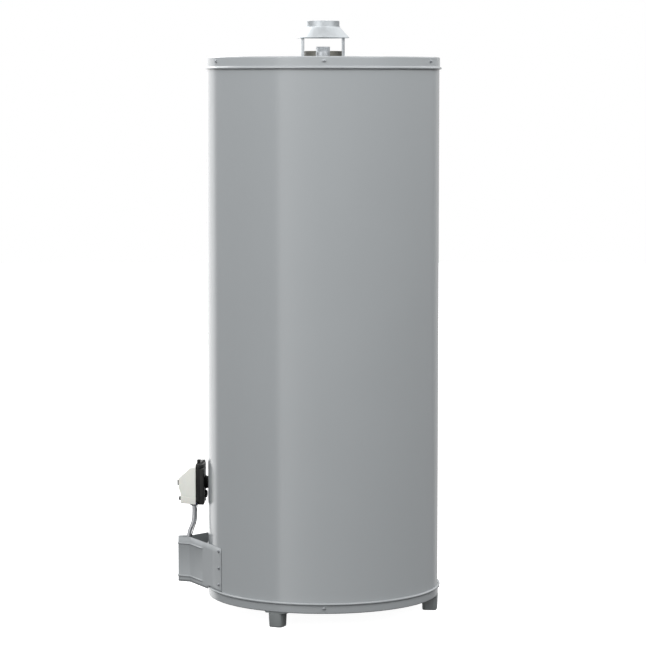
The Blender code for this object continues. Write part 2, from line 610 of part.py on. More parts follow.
def make_cover(front):
    """A moulded shell, open at the back, that narrows towards its nose."""
    back, nose = COVER_STRAIGHT, COVER_NOSE
    wide, narrow = 0.0600, 0.0340
    bm = bmesh.new()
    sides = []
    for sign in (-1, 1):
        loop = []
        for reach, z in cover_side():
            half = wide + (narrow - wide) * max(0, reach - back) / (nose - back)
            loop.append(bm.verts.new((sign * half, z, reach)))
        sides.append(loop)
    left, right = sides
    for i in range(len(left) - 1):
        bm.faces.new((left[i], right[i], right[i + 1], left[i + 1]))
    for side in (left, right):
        bm.faces.new((side[0], side[1], side[-2], side[-1]))
        bm.faces.new(side[1:-1])
    bmesh.ops.recalc_face_normals(bm, faces=bm.faces)
    cover = node("control_cover", bm, cover_cream, front)
    shell = cover.modifiers.new("wall", "SOLIDIFY")
    shell.thickness = 0.0022
    shell.offset = -1
    shell.use_even_offset = True
    holes = bmesh.new()
    for z, radius in ((DIAL_Z, 0.0045), (BUTTON_Z, BUTTON_R + 0.0005)):
        add_part(holes, tube(radius, 0, 0.425, 0.455, ROUND_SEGMENTS), Matrix.Translation((0, z, 0)))
    boolean(cover, helper("cover_holes", holes, front))


def make_controls(front):
    """The pieces that a hand works: dial and button, and the status lens between them."""
    face = COVER_NOSE + GAP
    dial = [(0.0, 0.430), (0.0036, 0.430), (0.0036, face), (DIAL_R, face)]
    dial += [(DIAL_R, face + 0.0015), (0.9 * DIAL_R, face + 0.0040), (0.6 * DIAL_R, face + 0.0062), (0, DIAL_FRONT)]
    centred = Matrix.Translation((0, DIAL_Z, face))
    node("temperature_dial", turned([(r, z - face) for r, z in dial], ROUND_SEGMENTS), knob_black, front @ centred)

    slope = atan2(NOSE_LOW[0] - COVER_BREAK[0], NOSE_LOW[1] - COVER_BREAK[1])  # the cover leans back below its nose
    middle = Matrix.Translation((0, (NOSE_LOW[1] + COVER_BREAK[1]) / 2, (NOSE_LOW[0] + COVER_BREAK[0]) / 2))
    lens = [(0, GAP), (0.0045, GAP), (0.0045, 0.0016), (0.0032, 0.0024), (0, 0.0026)]
    lens_place = front @ middle @ Matrix.Rotation(slope, 4, "X")
    node("status_lens", turned(lens, SMALL_SEGMENTS), lens_grey, lens_place)

    button = [(0, -0.018), (BUTTON_R - 0.001, -0.018), (BUTTON_R, -0.016), (BUTTON_R, -0.001)]
    button += [(BUTTON_R - 0.001, 0), (0, 0)]
    button_place = Matrix.Translation((0, BUTTON_Z, BUTTON_FRONT))
    node("igniter_button", turned(button, ROUND_SEGMENTS), knob_black, front @ button_place)


# ---- Relief valve and drain valve -----------------------------------------------------------------
def make_relief_valve(shell, foam, jacket):
    """Brass valve screwed into the left side, outlet down, with its test lever across the end."""
    side = frame_at(radians(-90), 0, TP_Z)
    body = [(0, 0.292), (0.0130, 0.292), (0.0130, 0.3560), (0.0195, 0.3560), (0.0195, 0.3680), (0.0165, 0.3700)]
    body += [(0.0165, 0.4020), (0.0120, 0.4060), (0.0105, 0.4130), (0, 0.4130)]
    valve = node("relief_valve_body", turned(body, ROUND_SEGMENTS), brass, side)
    down = Matrix.Translation((0, 0, 0.3860)) @ Matrix.Rotation(pi / 2, 4, "X")
    boolean(valve, helper("relief_outlet", tube(0.0160, 0, 0.004, 0.040, ROUND_SEGMENTS), side @ down), "UNION")
    drill([shell, foam, jacket], "relief_hole", 0.0138, 0.28, 0.36, side)
    pivot_y, pivot_z = 0.0075, 0.4172
    sideways = Matrix.Rotation(pi / 2, 4, "Y")
    across = Matrix(((0, 0, 1, 0), (0, 1, 0, 0), (1, 0, 0, 0), (0, 0, 0, 1)))  # an outline of (outward, up) points
    ears = bmesh.new()
    for x in (-0.0077, 0.0077):
        ear = prism([(0.4080, 0.0000), (0.4225, 0.0000), (0.4225, 0.0125), (0.4080, 0.0125)], x - 0.0014, x + 0.0014)
        add_part(ears, ear, across)
    boolean(valve, helper("relief_ears", ears, side), "UNION")
    pivot = side @ Matrix.Translation((0, pivot_y, pivot_z))
    pin = helper("relief_pin", tube(0.0012, 0, -0.0080, 0.0080, 8), pivot @ sideways)
    boolean(valve, pin, "UNION")
    drill([valve], "relief_outlet_bore", 0.0130, 0.018, 0.05, side @ down)
    arm = [(0.0000, 0.0022), (0.0070, 0.0032), (0.0070, 0.0400), (0.0086, 0.0500), (0.0113, 0.0500)]
    arm += [(0.0098, 0.0390), (0.0098, -0.0022), (0.0000, -0.0022)]
    bm = prism(arm, -0.0055, 0.0055)
    bmesh.ops.transform(bm, matrix=across, verts=bm.verts)
    lever = node("relief_lever", bm, zinc, pivot)
    hub = helper("relief_hub", tube(0.0034, 0, -0.0055, 0.0055, SMALL_SEGMENTS), pivot @ sideways)
    boolean(lever, hub, "UNION")
    drill([lever], "relief_pin_hole", 0.0016, -0.02, 0.02, pivot @ sideways, 8)


def make_drain_valve(shell, foam, jacket):
    """Brass drain cock low on the left, hose thread down, with a quarter-turn handle on top."""
    side = frame_at(DRAIN_BEARING, 0, DRAIN_Z)
    body = [(0, 0.292), (0.0130, 0.292), (0.0130, 0.3560), (0.0185, 0.3560), (0.0185, 0.3660), (0.0150, 0.3680)]
    body += [(0.0150, 0.4010), (0.0110, 0.4045), (0, 0.4045)]
    valve = node("drain_valve_body", turned(body, ROUND_SEGMENTS), brass, side)
    down = Matrix.Translation((0, 0, 0.3850)) @ Matrix.Rotation(pi / 2, 4, "X")
    boolean(valve, helper("drain_outlet", tube(0.0132, 0, 0.004, 0.036, ROUND_SEGMENTS), side @ down), "UNION")
    up = Matrix.Translation((0, 0, 0.3850)) @ Matrix.Rotation(-pi / 2, 4, "X")
    boolean(valve, helper("drain_stem", tube(0.0060, 0, 0.004, 0.0215, SMALL_SEGMENTS), side @ up), "UNION")
    drill([valve], "drain_outlet_bore", 0.0098, 0.014, 0.045, side @ down)
    drill([shell, foam, jacket], "drain_hole", 0.0138, 0.28, 0.36, side)
    half_plan = [(0.0090, 0.0090), (0.0090, -0.0100), (0.0070, -0.0400)]
    handle = prism(half_plan + [(-x, y) for x, y in half_plan[::-1]], 0.0219, 0.0259)
    handle_place = side @ up
    made = node("drain_handle", handle, handle_red, handle_place)
    bevel = made.modifiers.new("edges", "BEVEL")
    bevel.width = 0.0012
    bevel.segments = 2


# ---- Screws ---------------------------------------------------------------------------------------
def make_screws(jacket, top_pan, base_pan, shield):
    """Hex washer head screws through the sheets, and their clearance holes."""
    seat_pan = JACKET_R + GAP + SHEET + GAP
    seat_shield = JACKET_R + GAP + SHIELD_SHEET + 3 * GAP
    places = []
    for number, bearing in enumerate(TOP_SCREW_BEARINGS):
        places.append((f"top_pan_screw_{number + 1}", frame_at(bearing, seat_pan, PAN_SCREW_Z[0])))
    for number, bearing in enumerate(BASE_SCREW_BEARINGS):
        places.append((f"base_pan_screw_{number + 1}", frame_at(bearing, seat_pan, PAN_SCREW_Z[1])))
    for number in range(2 * len(SHIELD_SCREW_Z)):
        side = 1 if number % 2 else -1
        place = frame_at(side * SHIELD_SCREW_BEARING, seat_shield, SHIELD_SCREW_Z[number // 2])
        places.append((f"shield_screw_{number + 1}", place))
    shank_r, washer_r, head_r, length = 0.0018, 0.0050, 0.0036, 0.0080
    profile = [(0, -length), (shank_r, -length + 0.002), (shank_r, 0), (washer_r, 0), (head_r, 0.0010)]
    profile += [(head_r, 0.0034), (head_r - 0.0006, 0.0040), (0, 0.0040)]
    clearance = bmesh.new()
    for name, place in places:
        node(name, turned(profile, 6), zinc, place)
        add_part(clearance, tube(shank_r + 0.0006, 0, -0.014, 0.004, 6), place)
    cutter = helper("screw_clearance", clearance)
    for target in (jacket, top_pan, base_pan, shield):
        boolean(target, cutter)


clear_scene()
heater_axis = bpy.data.objects.new("heater_axis", None)
bpy.context.scene.collection.objects.link(heater_axis)
heater_axis.location = (AXIS_X, AXIS_Y, 0.0)

grey_paint = material("grey_paint", (0.36, 0.37, 0.38), 0.0, 0.35)
leg_grey = material("leg_grey", (0.14, 0.15, 0.15), 0.0, 0.5)
steel = material("steel", (0.45, 0.45, 0.46), 1.0, 0.4)
tank_steel = material("tank_steel", (0.05, 0.07, 0.11), 0.2, 0.35)
flue_black = material("flue_black", (0.045, 0.042, 0.036), 0.3, 0.55)
foam_yellow = material("foam_yellow", (0.80, 0.66, 0.38), 0.0, 0.9)
zinc = material("zinc", (0.52, 0.54, 0.56), 0.9, 0.35)
galvanised = material("galvanised", (0.62, 0.65, 0.67), 0.9, 0.35)
brass = material("brass", (0.62, 0.47, 0.22), 0.95, 0.3)
cast_iron = material("cast_iron", (0.06, 0.06, 0.06), 0.5, 0.7)
tube_silver = material("tube_silver", (0.55, 0.56, 0.58), 0.8, 0.4)
lead_black = material("lead_black", (0.03, 0.03, 0.03), 0.0, 0.6)
control_black = material("control_black", (0.018, 0.018, 0.018), 0.0, 0.45)
knob_black = material("knob_black", (0.025, 0.025, 0.025), 0.0, 0.4)
cover_cream = material("cover_cream", (0.70, 0.69, 0.62), 0.0, 0.5)
lens_grey = material("lens_grey", (0.35, 0.35, 0.34), 0.0, 0.25)
cap_white = material("cap_white", (0.86, 0.86, 0.84), 0.0, 0.5)
clear_glass = material("clear_glass", (0.80, 0.84, 0.84), 0.0, 0.05)
dip_plastic = material("dip_plastic", (0.75, 0.78, 0.80), 0.0, 0.5)
handle_red = material("handle_red", (0.42, 0.03, 0.02), 0.0, 0.4)

jacket = make_jacket()
top_pan, base_pan = make_pans()
make_legs()
shell, top_head, bottom_head, foam = make_tank()
make_flue(top_head, bottom_head, top_pan)
make_top_fittings(top_head, top_pan)
make_draft_hood()
shield = make_shield()
make_burner_door()
make_burner()
make_gas_lines()
make_control(shell, foam, jacket)
make_relief_valve(shell, foam, jacket)
make_drain_valve(shell, foam, jacket)
make_screws(jacket, top_pan, base_pan, shield)
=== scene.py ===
"""Looks of the tank water heater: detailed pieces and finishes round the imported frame, in a white studio.

Metres, +Z up. Most pieces are modelled round the tank's axis, which stands a little off the frame's origin.
A bearing is the angle round that axis from the front (-Y), positive towards +X. On the tank's side a piece is
modelled in a local frame: X sideways, Y up and Z outwards, so that its "reach" is the distance from the axis.
"""

from math import asin, atan2, ceil, cos, pi, radians, sin, tan

import bmesh
import bpy
from mathutils import Matrix, Vector


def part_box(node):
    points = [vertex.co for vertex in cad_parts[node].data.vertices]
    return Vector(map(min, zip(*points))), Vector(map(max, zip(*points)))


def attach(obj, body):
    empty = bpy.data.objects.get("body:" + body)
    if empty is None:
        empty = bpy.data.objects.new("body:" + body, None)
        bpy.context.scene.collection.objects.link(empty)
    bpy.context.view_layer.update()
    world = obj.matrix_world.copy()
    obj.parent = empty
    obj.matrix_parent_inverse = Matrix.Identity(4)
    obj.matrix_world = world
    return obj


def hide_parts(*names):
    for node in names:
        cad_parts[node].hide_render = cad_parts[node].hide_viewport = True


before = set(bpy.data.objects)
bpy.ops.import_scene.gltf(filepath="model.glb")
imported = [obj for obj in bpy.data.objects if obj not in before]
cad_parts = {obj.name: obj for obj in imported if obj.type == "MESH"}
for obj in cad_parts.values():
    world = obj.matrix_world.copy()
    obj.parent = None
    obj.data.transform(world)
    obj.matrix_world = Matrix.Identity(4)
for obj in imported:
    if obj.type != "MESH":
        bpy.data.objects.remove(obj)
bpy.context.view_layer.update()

# ---- Driving dimensions, read from the frame --------------------------------------------------------
jacket_low, jacket_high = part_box("jacket")
AXIS = Vector(((jacket_low.x + jacket_high.x) / 2, (jacket_low.y + jacket_high.y) / 2, 0))
ON_AXIS = Matrix.Translation(AXIS)


def span(node):
    """Lowest and highest corner of a CAD node, measured from the tank's axis."""
    low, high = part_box(node)
    return low - AXIS, high - AXIS


def middle(node):
    low, high = span(node)
    return (low + high) / 2


def extent(node):
    low, high = span(node)
    return high - low


JACKET_R = span("jacket")[1].x
TOP_LOW, TOP_Z = span("top_pan")[0].z, span("top_pan")[1].z
BEAD_OUT = span("top_pan")[1].x
LEG_H, BASE_HIGH = span("base_pan")[0].z, span("base_pan")[1].z
SHIELD_LOW, SHIELD_HIGH = span("burner_shield")[0].z, span("burner_shield")[1].z
HOUSING_LOW = span("control_housing")[0].z
HOUSING_FRONT = -span("control_housing")[0].y
COVER_NOSE = -span("control_cover")[0].y
DIAL_FRONT = -span("temperature_dial")[0].y
DIAL_Z = middle("temperature_dial").z
DIAL_R = extent("temperature_dial").z / 2
BUTTON_Z = middle("igniter_button").z
BUTTON_FRONT = -span("igniter_button")[0].y
SHANK_R = span("control_spud")[1].x

GAP = 0.0004
SHEET = 0.001
BEAD_R = 0.0035
CONTROL_Z = 0.382
RELIEF_Z, DRAIN_Z = 1.520, 0.272
DRAIN_BEARING = radians(-46)
BIG, MIDDLE, SMALL = 240, 72, 32  # segments of round pieces
CREASE = radians(32)  # edges sharper than this are shaded as edges


# ---- Finishes ----------------------------------------------------------------------------------------
FINISHES = {}


def finish(slot, colour, roughness, metallic=0.0, patches=5.0, shade=0.04, uneven=0.12, grain=600.0,
           relief=0.00002, stretch=(1, 1, 1), spangle=0.0, worn=0.0, **sockets):
    """Enters a material with mottled colour, uneven gloss and a fine surface relief under its slot's name.

    patches and grain are noise scales per metre, relief is in metres, stretch scales the noise per axis.
    spangle is the size in metres of zinc crystals, and worn is how much paler the edges are.
    """
    made = bpy.data.materials.new(f"{slot}_finish")
    made.use_nodes = True
    nodes, links = made.node_tree.nodes, made.node_tree.links
    shader = nodes["Principled BSDF"]
    shader.inputs["Metallic"].default_value = metallic
    for name, value in sockets.items():
        shader.inputs[name.replace("_", " ")].default_value = value
    place = nodes.new("ShaderNodeTexCoord")
    scaled = nodes.new("ShaderNodeMapping")
    scaled.inputs["Scale"].default_value = stretch
    links.new(place.outputs["Object"], scaled.inputs["Vector"])

    def noise(scale, detail):
        made_noise = nodes.new("ShaderNodeTexNoise")
        made_noise.inputs["Scale"].default_value = scale
        made_noise.inputs["Detail"].default_value = detail
        links.new(scaled.outputs["Vector"], made_noise.inputs["Vector"])
        return made_noise.outputs["Fac"]

    def blend(factor, low, high):
        mix = nodes.new("ShaderNodeMix")
        mix.data_type = "RGBA"
        links.new(factor, mix.inputs["Factor"])
        for socket, value in zip((mix.inputs[6], mix.inputs[7]), (low, high)):
            if isinstance(value, bpy.types.NodeSocket):
                links.new(value, socket)
            else:
                socket.default_value = (*value, 1.0)
        return mix.outputs[2]

    def ramp(value, low, high, to_low, to_high):
        mapped = nodes.new("ShaderNodeMapRange")
        for name, number in zip(("From Min", "From Max", "To Min", "To Max"), (low, high, to_low, to_high)):
            mapped.inputs[name].default_value = number
        links.new(value, mapped.inputs["Value"])
        return mapped.outputs["Result"]

    mottle = ramp(noise(patches, 3.0), 0.3, 0.7, 0.0, 1.0)
    if spangle:
        cells = nodes.new("ShaderNodeTexVoronoi")
        cells.inputs["Scale"].default_value = 1 / spangle
        links.new(scaled.outputs["Vector"], cells.inputs["Vector"])
        grey = nodes.new("ShaderNodeRGBToBW")
        links.new(cells.outputs["Color"], grey.inputs["Color"])
        mottle = grey.outputs["Val"]
    tint = blend(mottle, [c * (1 - shade) for c in colour], [min(1, c * (1 + shade)) for c in colour])
    if worn:
        shape = nodes.new("ShaderNodeNewGeometry")
        edges = ramp(shape.outputs["Pointiness"], 0.52, 0.62, 0.0, worn)
        tint = blend(edges, tint, [0.5 + c / 2 for c in colour])
    links.new(tint, shader.inputs["Base Color"])
    gloss_from = mottle if spangle else noise(patches * 7, 2.0)
    gloss = ramp(gloss_from, 0.25, 0.75, roughness * (1 - uneven), roughness * (1 + uneven))
    links.new(gloss, shader.inputs["Roughness"])
    bump = nodes.new("ShaderNodeBump")
    bump.inputs["Distance"].default_value = relief
    links.new(noise(grain, 2.0), bump.inputs["Height"])
    links.new(bump.outputs["Normal"], shader.inputs["Normal"])
    FINISHES[slot] = made


GREY = (0.382, 0.403, 0.416)
finish("grey_paint", GREY, 0.17, shade=0.012, patches=3, grain=420, relief=0.000012, uneven=0.15)
finish("leg_paint", (0.200, 0.215, 0.218), 0.42, shade=0.05, patches=40, grain=1500, relief=0.00005)
finish("tank_steel", (0.050, 0.070, 0.110), 0.35, 0.2, patches=9, shade=0.15, relief=0.00004)
finish("flue_enamel", (0.115, 0.112, 0.098), 0.50, 0.4, patches=28, shade=0.22, uneven=0.2, relief=0.00006)
finish("foam", (0.80, 0.66, 0.38), 0.90, patches=60, shade=0.12, grain=350, relief=0.0008)
finish("zinc_plate", (0.43, 0.45, 0.47), 0.46, 0.9, patches=55, shade=0.05, uneven=0.15)
finish("galvanised_steel", (0.60, 0.63, 0.65), 0.50, 0.95, shade=0.035, spangle=0.006, relief=0.00001)
finish("brass", (0.66, 0.50, 0.24), 0.30, 1.0, patches=60, shade=0.10, uneven=0.3, grain=1800)
finish("cast_iron", (0.060, 0.058, 0.056), 0.70, 0.5, patches=45, shade=0.25, relief=0.0003)
finish("aluminium_tube", (0.70, 0.71, 0.73), 0.36, 0.85, patches=30, shade=0.06,
       grain=900, stretch=(3, 3, 0.25))
finish("lead_sleeve", (0.030, 0.030, 0.030), 0.55, patches=80, shade=0.2, relief=0.00004)
finish("control_casting", (0.011, 0.011, 0.010), 0.42, patches=50, shade=0.2,
       grain=1600, relief=0.00008, worn=0.03, Specular_IOR_Level=0.30)
finish("knob_plastic", (0.014, 0.014, 0.014), 0.50, patches=70, shade=0.15, grain=2200,
       relief=0.00003, Specular_IOR_Level=0.25)
finish("cover_plastic", (0.89, 0.90, 0.84), 0.42, patches=25, shade=0.02, grain=2200,
       relief=0.00003, Subsurface_Weight=0.04, Subsurface_Scale=0.002)
finish("lens_plastic", (0.22, 0.22, 0.21), 0.20, patches=90, shade=0.1, relief=0.000004)
finish("cap_plastic", (0.86, 0.86, 0.84), 0.38, patches=40, shade=0.03, grain=1800)
finish("dip_plastic", (0.75, 0.78, 0.80), 0.45, patches=30, shade=0.05)
finish("handle_plastic", (0.42, 0.030, 0.020), 0.34, patches=60, shade=0.10, relief=0.00004)
finish("sight_glass", (0.88, 0.92, 0.92), 0.04, patches=40, shade=0.03, relief=0.000002,
       Transmission_Weight=0.9)
finish("satin_grey", [0.97 * c for c in GREY], 0.48, shade=0.012, patches=6, grain=420, relief=0.000012)
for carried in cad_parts.values():
    for used in carried.material_slots:
        used.material = FINISHES[used.material.name]


# ---- Mesh helpers ------------------------------------------------------------------------------------
ACROSS = Matrix(((0, 0, 1, 0), (0, 1, 0, 0), (1, 0, 0, 0), (0, 0, 0, 1)))  # takes (reach, up) outlines
STANDING = Matrix(((1, 0, 0, 0), (0, 0, 1, 0), (0, 1, 0, 0), (0, 0, 0, 1)))  # takes (sideways, reach) ones
DOWN = Matrix.Rotation(pi / 2, 4, "X")


def outwards(bearing):
    return Vector((sin(bearing), -cos(bearing), 0.0))


def side_frame(bearing, reach=0.0, height=0.0):
    """Local frame on the tank's side: Z outwards, Y up."""
    out, up = outwards(bearing), Vector((0, 0, 1))
    axes = Matrix((up.cross(out), up, out)).transposed().to_4x4()
    return Matrix.Translation(out * reach + up * height) @ axes


def upright(bearing, reach, height=0.0):
    """Local frame standing up, with -Y outwards."""
    place = outwards(bearing) * reach + Vector((0, 0, height))
    return Matrix.Translation(place) @ Matrix.Rotation(bearing, 4, "Z")


def rounded(outline, steps=4, closed=True):
    """Outline whose (u, v, corner radius) points become arcs, and whose (u, v) points stay sharp."""
    made, count = [], len(outline)
    for i, (u, v, *corner) in enumerate(outline):
        here = Vector((u, v))
        if not corner or (not closed and i in (0, count - 1)):
            made.append((u, v))
            continue
        back = Vector(outline[i - 1][:2]) - here
        on = Vector(outline[(i + 1) % count][:2]) - here
        half = back.angle(on) / 2
        reach = min(corner[0] / tan(half), 0.49 * back.length, 0.49 * on.length)
        centre = here + (back.normalized() + on.normalized()).normalized() * (reach / cos(half))
        start, end = here + back.normalized() * reach - centre, here + on.normalized() * reach - centre
        turns = [start.slerp(end, k / steps).normalized() for k in range(steps + 1)]
        made += [tuple(centre + turn * start.length) for turn in turns]
    return made


def ring(radius, count, start=0.0):
    turns = [start + 2 * pi * i / count for i in range(count)]
    return [(radius * cos(turn), radius * sin(turn)) for turn in turns]


def box_outline(width, depth, corner):
    w, d = width / 2, depth / 2
    return [(w, d, corner), (-w, d, corner), (-w, -d, corner), (w, -d, corner)]


def turned(profile, segments=MIDDLE, steps=4):
    """A body spun round Z from a closed outline of (radius, height) points with optional corner radii."""
    bm = bmesh.new()
    points = [bm.verts.new((r, 0.0, z)) for r, z in rounded(profile, steps)]
    pairs = zip(points, points[1:] + points[:1])
    edges = [bm.edges.new(pair) for pair in pairs if pair[0].co.x > 1e-7 or pair[1].co.x > 1e-7]
    bmesh.ops.spin(bm, geom=points + edges, cent=(0, 0, 0), axis=(0, 0, 1), angle=2 * pi, steps=segments,
                   use_merge=True)
    bmesh.ops.remove_doubles(bm, verts=bm.verts, dist=1e-6)
    return bm


def rod(radius, low, high, segments=SMALL):
    return turned([(0, low), (radius, low), (radius, high), (0, high)], segments)


def shift(x=0.0, y=0.0, z=0.0):
    return Matrix.Translation((x, y, z))


def prism(outline, low, high, edge=0.0, steps=4):
    """An outline extruded along Z, with its edges rounded by a radius."""
    bm = bmesh.new()
    base = bm.faces.new([bm.verts.new((u, v, low)) for u, v in rounded(outline, steps)])
    grown = bmesh.ops.extrude_face_region(bm, geom=[base])
    top = [item for item in grown["geom"] if isinstance(item, bmesh.types.BMVert)]
    bmesh.ops.translate(bm, verts=top, vec=(0, 0, high - low))
    return soften(bm, edge) if edge else bm


def soften(bm, width, angle=radians(25), segments=3):
    """Rounds every edge sharper than an angle."""
    bmesh.ops.recalc_face_normals(bm, faces=bm.faces)
    sharp = [e for e in bm.edges if len(e.link_faces) == 2 and e.calc_face_angle(0) > angle]
    bmesh.ops.bevel(bm, geom=sharp, offset=width, segments=segments, profile=0.5, affect="EDGES",
                    clamp_overlap=True)
    return bm


def skin(bm, loops):
    """Faces between each loop of vertices and the next."""
    for lower, upper in zip(loops, loops[1:]):
        for i in range(len(lower)):
            j = (i + 1) % len(lower)
            bm.faces.new((lower[i], lower[j], upper[j], upper[i]))


def threaded(radius, bore, low, high, thread_low, pitch, depth, segments=48):
    """A tube with a screw thread cut round its outside from thread_low to its upper end."""
    bm = bmesh.new()
    rows = [(bore, low), (radius, low), (radius, thread_low)]
    count = ceil((high - thread_low) / (pitch / 6))
    rows += [(None, thread_low + (high - thread_low) * i / count) for i in range(1, count)]
    rows += [(radius - depth * 1.4, high), (bore + 0.0004, high), (bore, high - 0.0004)]
    grid = []
    for r, z in rows:
        row = []
        for i in range(segments):
            turn = i / segments
            wave = abs(((z / pitch - turn) % 1) * 2 - 1)
            taper = min(1.0, (z - thread_low) / (2 * pitch), (high - z) / pitch + 0.2)
            here = radius - depth * (0.15 + wave) * taper if r is None else r
            row.append(bm.verts.new((here * cos(2 * pi * turn), here * sin(2 * pi * turn), z)))
        grid.append(row)
    skin(bm, grid + grid[:1])
    return bm


def hexagon(across_corners, low, high, edge=0.0006):
    return prism(ring(across_corners / 2, 6), low, high, edge)


def moved(bm, *places):
    for place in reversed(places):
        bmesh.ops.transform(bm, matrix=place, verts=bm.verts)
    return bm


def joined(bm, *others):
    """One mesh out of several closed shapes."""
    for other in others:
        bmesh.ops.recalc_face_normals(other, faces=other.faces)
        spare = bpy.data.meshes.new("spare")
        other.to_mesh(spare)
        other.free()
        bm.from_mesh(spare)
        bpy.data.meshes.remove(spare)
    return bm


def new_mesh(name, bm, slot, crease=CREASE):
    bmesh.ops.recalc_face_normals(bm, faces=bm.faces)
    mesh = bpy.data.meshes.new(name)
    bm.to_mesh(mesh)
    bm.free()
    mesh.shade_smooth()
    mesh.set_sharp_from_angle(angle=crease)
    mesh.materials.append(FINISHES[slot])
    return mesh


def add(name, data):
    made = bpy.data.objects.new(name, data)
    bpy.context.scene.collection.objects.link(made)
    return made


def piece(name, shape, slot, stands_for=(), place=Matrix(), body="heater"):
    """Puts a shape on the tank's axis at a place, to ride on a body and stand for CAD nodes."""
    mesh = shape if isinstance(shape, bpy.types.Mesh) else new_mesh(name, shape, slot)
    made = add(name, mesh)
    made.matrix_world = ON_AXIS @ place
    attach(made, body)
    if stands_for:
        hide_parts(*([stands_for] if isinstance(stands_for, str) else stands_for))
    return made


def settle(made):
    """Turns a piece's modifiers into its mesh."""
    bpy.context.view_layer.update()
    graph = bpy.context.evaluated_depsgraph_get()
    made.data = bpy.data.meshes.new_from_object(made.evaluated_get(graph), depsgraph=graph)
    made.modifiers.clear()


def cut(made, *cutters):
    """Cuts closed shapes, given in the piece's own frame, out of it."""
    for number, cutter in enumerate(cutters):
        tool = add("cutter", new_mesh("cutter", cutter, "zinc_plate"))
        tool.matrix_world = made.matrix_world
        modifier = made.modifiers.new(f"cut_{number}", "BOOLEAN")
        modifier.operation, modifier.solver, modifier.object = "DIFFERENCE", "EXACT", tool
        settle(made)
        made.data.name = made.name
        made.data.set_sharp_from_angle(angle=CREASE)
        bpy.data.objects.remove(tool)


def round_off(mesh):
    """Turns the normals of faces round Z straight away from it, so that holes leave no marks in the gloss."""
    normals = []
    for face in mesh.polygons:
        for corner in face.loop_indices:
            here = mesh.vertices[mesh.loops[corner].vertex_index].co
            away = Vector((here.x, here.y, 0)).normalized()
            side = away.dot(face.normal)
            normals.append(away * (1 if side > 0 else -1) if abs(side) > 0.98 else face.normal.copy())
    mesh.normals_split_custom_set(normals)


def smooth_route(route, spacing=0.003):
    """Points about one spacing apart on a Catmull-Rom curve through the route."""
    knots = [Vector(point) for point in route]
    knots = [2 * knots[0] - knots[1], *knots, 2 * knots[-1] - knots[-2]]
    points = []
    for a, b, c, d in zip(knots, knots[1:], knots[2:], knots[3:]):
        count = max(1, round((c - b).length / spacing))
        for i in range(count):
            t = i / count
            square, cube = 2 * a - 5 * b + 4 * c - d, 3 * b - a - 3 * c + d
            points.append(0.5 * (2 * b + (c - a) * t + square * t**2 + cube * t**3))
    return [*points, knots[-2]]


def sweep(route, radius, sides=20):
    """A round rod along a smooth route."""
    bm, rows = bmesh.new(), []
    points = smooth_route(route)
    across = Vector((1, 0, 0))
    for i, point in enumerate(points):
        along = (points[min(i + 1, len(points) - 1)] - points[max(i - 1, 0)]).normalized()
        across = (across - along * across.dot(along)).normalized()
        up = along.cross(across)
        rows.append([bm.verts.new(point + (across * u + up * v)) for u, v in ring(radius, sides)])
    skin(bm, rows)
    bm.faces.new(rows[0])
    bm.faces.new(rows[-1])
    return bm


# ---- Jacket, pans, legs ------------------------------------------------------------------------------
def make_jacket():
    """Rolled sheet with its lap seam at the rear, and holes for the burner, the control and the valves."""
    low, high = span("jacket")[0].z, span("jacket")[1].z
    lap, lap_width, seam = 0.0007, 0.030, pi
    stations = [2 * pi * i / BIG for i in range(BIG)]
    stations += [seam + s / JACKET_R for s in (0.0004, 0.0012, 0.0025, 0.006, 0.012, 0.018, 0.024)]
    bm, columns = bmesh.new(), []
    for bearing in sorted(stations):
        past = (bearing - seam) * JACKET_R
        drop = lap * (1 - past / lap_width) if 0.0003 < past < lap_width else 0.0
        ring_points = []
        outer, inner = JACKET_R - drop, JACKET_R - SHEET - lap
        for r, z in ((outer, low), (outer, high), (inner, high), (inner, low)):
            ring_points.append(bm.verts.new(outwards(bearing) * r + Vector((0, 0, z))))
        columns.append(ring_points)
    skin(bm, columns + columns[:1])
    jacket = piece("jacket_detail", bm, "grey_paint", "jacket")
    window = moved(prism(box_outline(0.200, 0.090, 0.012), -0.03, 0.03), side_frame(0, JACKET_R, 0.145))
    valve_hole = 0.0138
    holes = [(0, CONTROL_Z, SHANK_R + 0.0007)]
    holes += [(radians(-90), RELIEF_Z, valve_hole), (DRAIN_BEARING, DRAIN_Z, valve_hole)]
    cutters = [moved(rod(r, -0.03, 0.03), side_frame(bearing, JACKET_R, z)) for bearing, z, r in holes]
    cut(jacket, window, *cutters)
    round_off(jacket.data)


def pan_profile(flat, towards, bead_z):
    """Outline of a pan from its flat face round the rim, down the skirt and round the rolled bead."""
    inner = JACKET_R + GAP
    outer = inner + SHEET
    bead_mid = BEAD_OUT - BEAD_R
    rim = [(outer, flat, 0.004)]
    neck = [(outer, bead_z - towards * (BEAD_R + 0.0015), 0.0012)]
    turns = [radians(a) for a in range(-75, 91, 15)]
    roll = [(bead_mid + BEAD_R * cos(a), bead_z + towards * BEAD_R * sin(a)) for a in turns]
    return rim + neck + roll + [(inner, bead_z + towards * BEAD_R), (inner, flat + towards * SHEET, 0.002)]


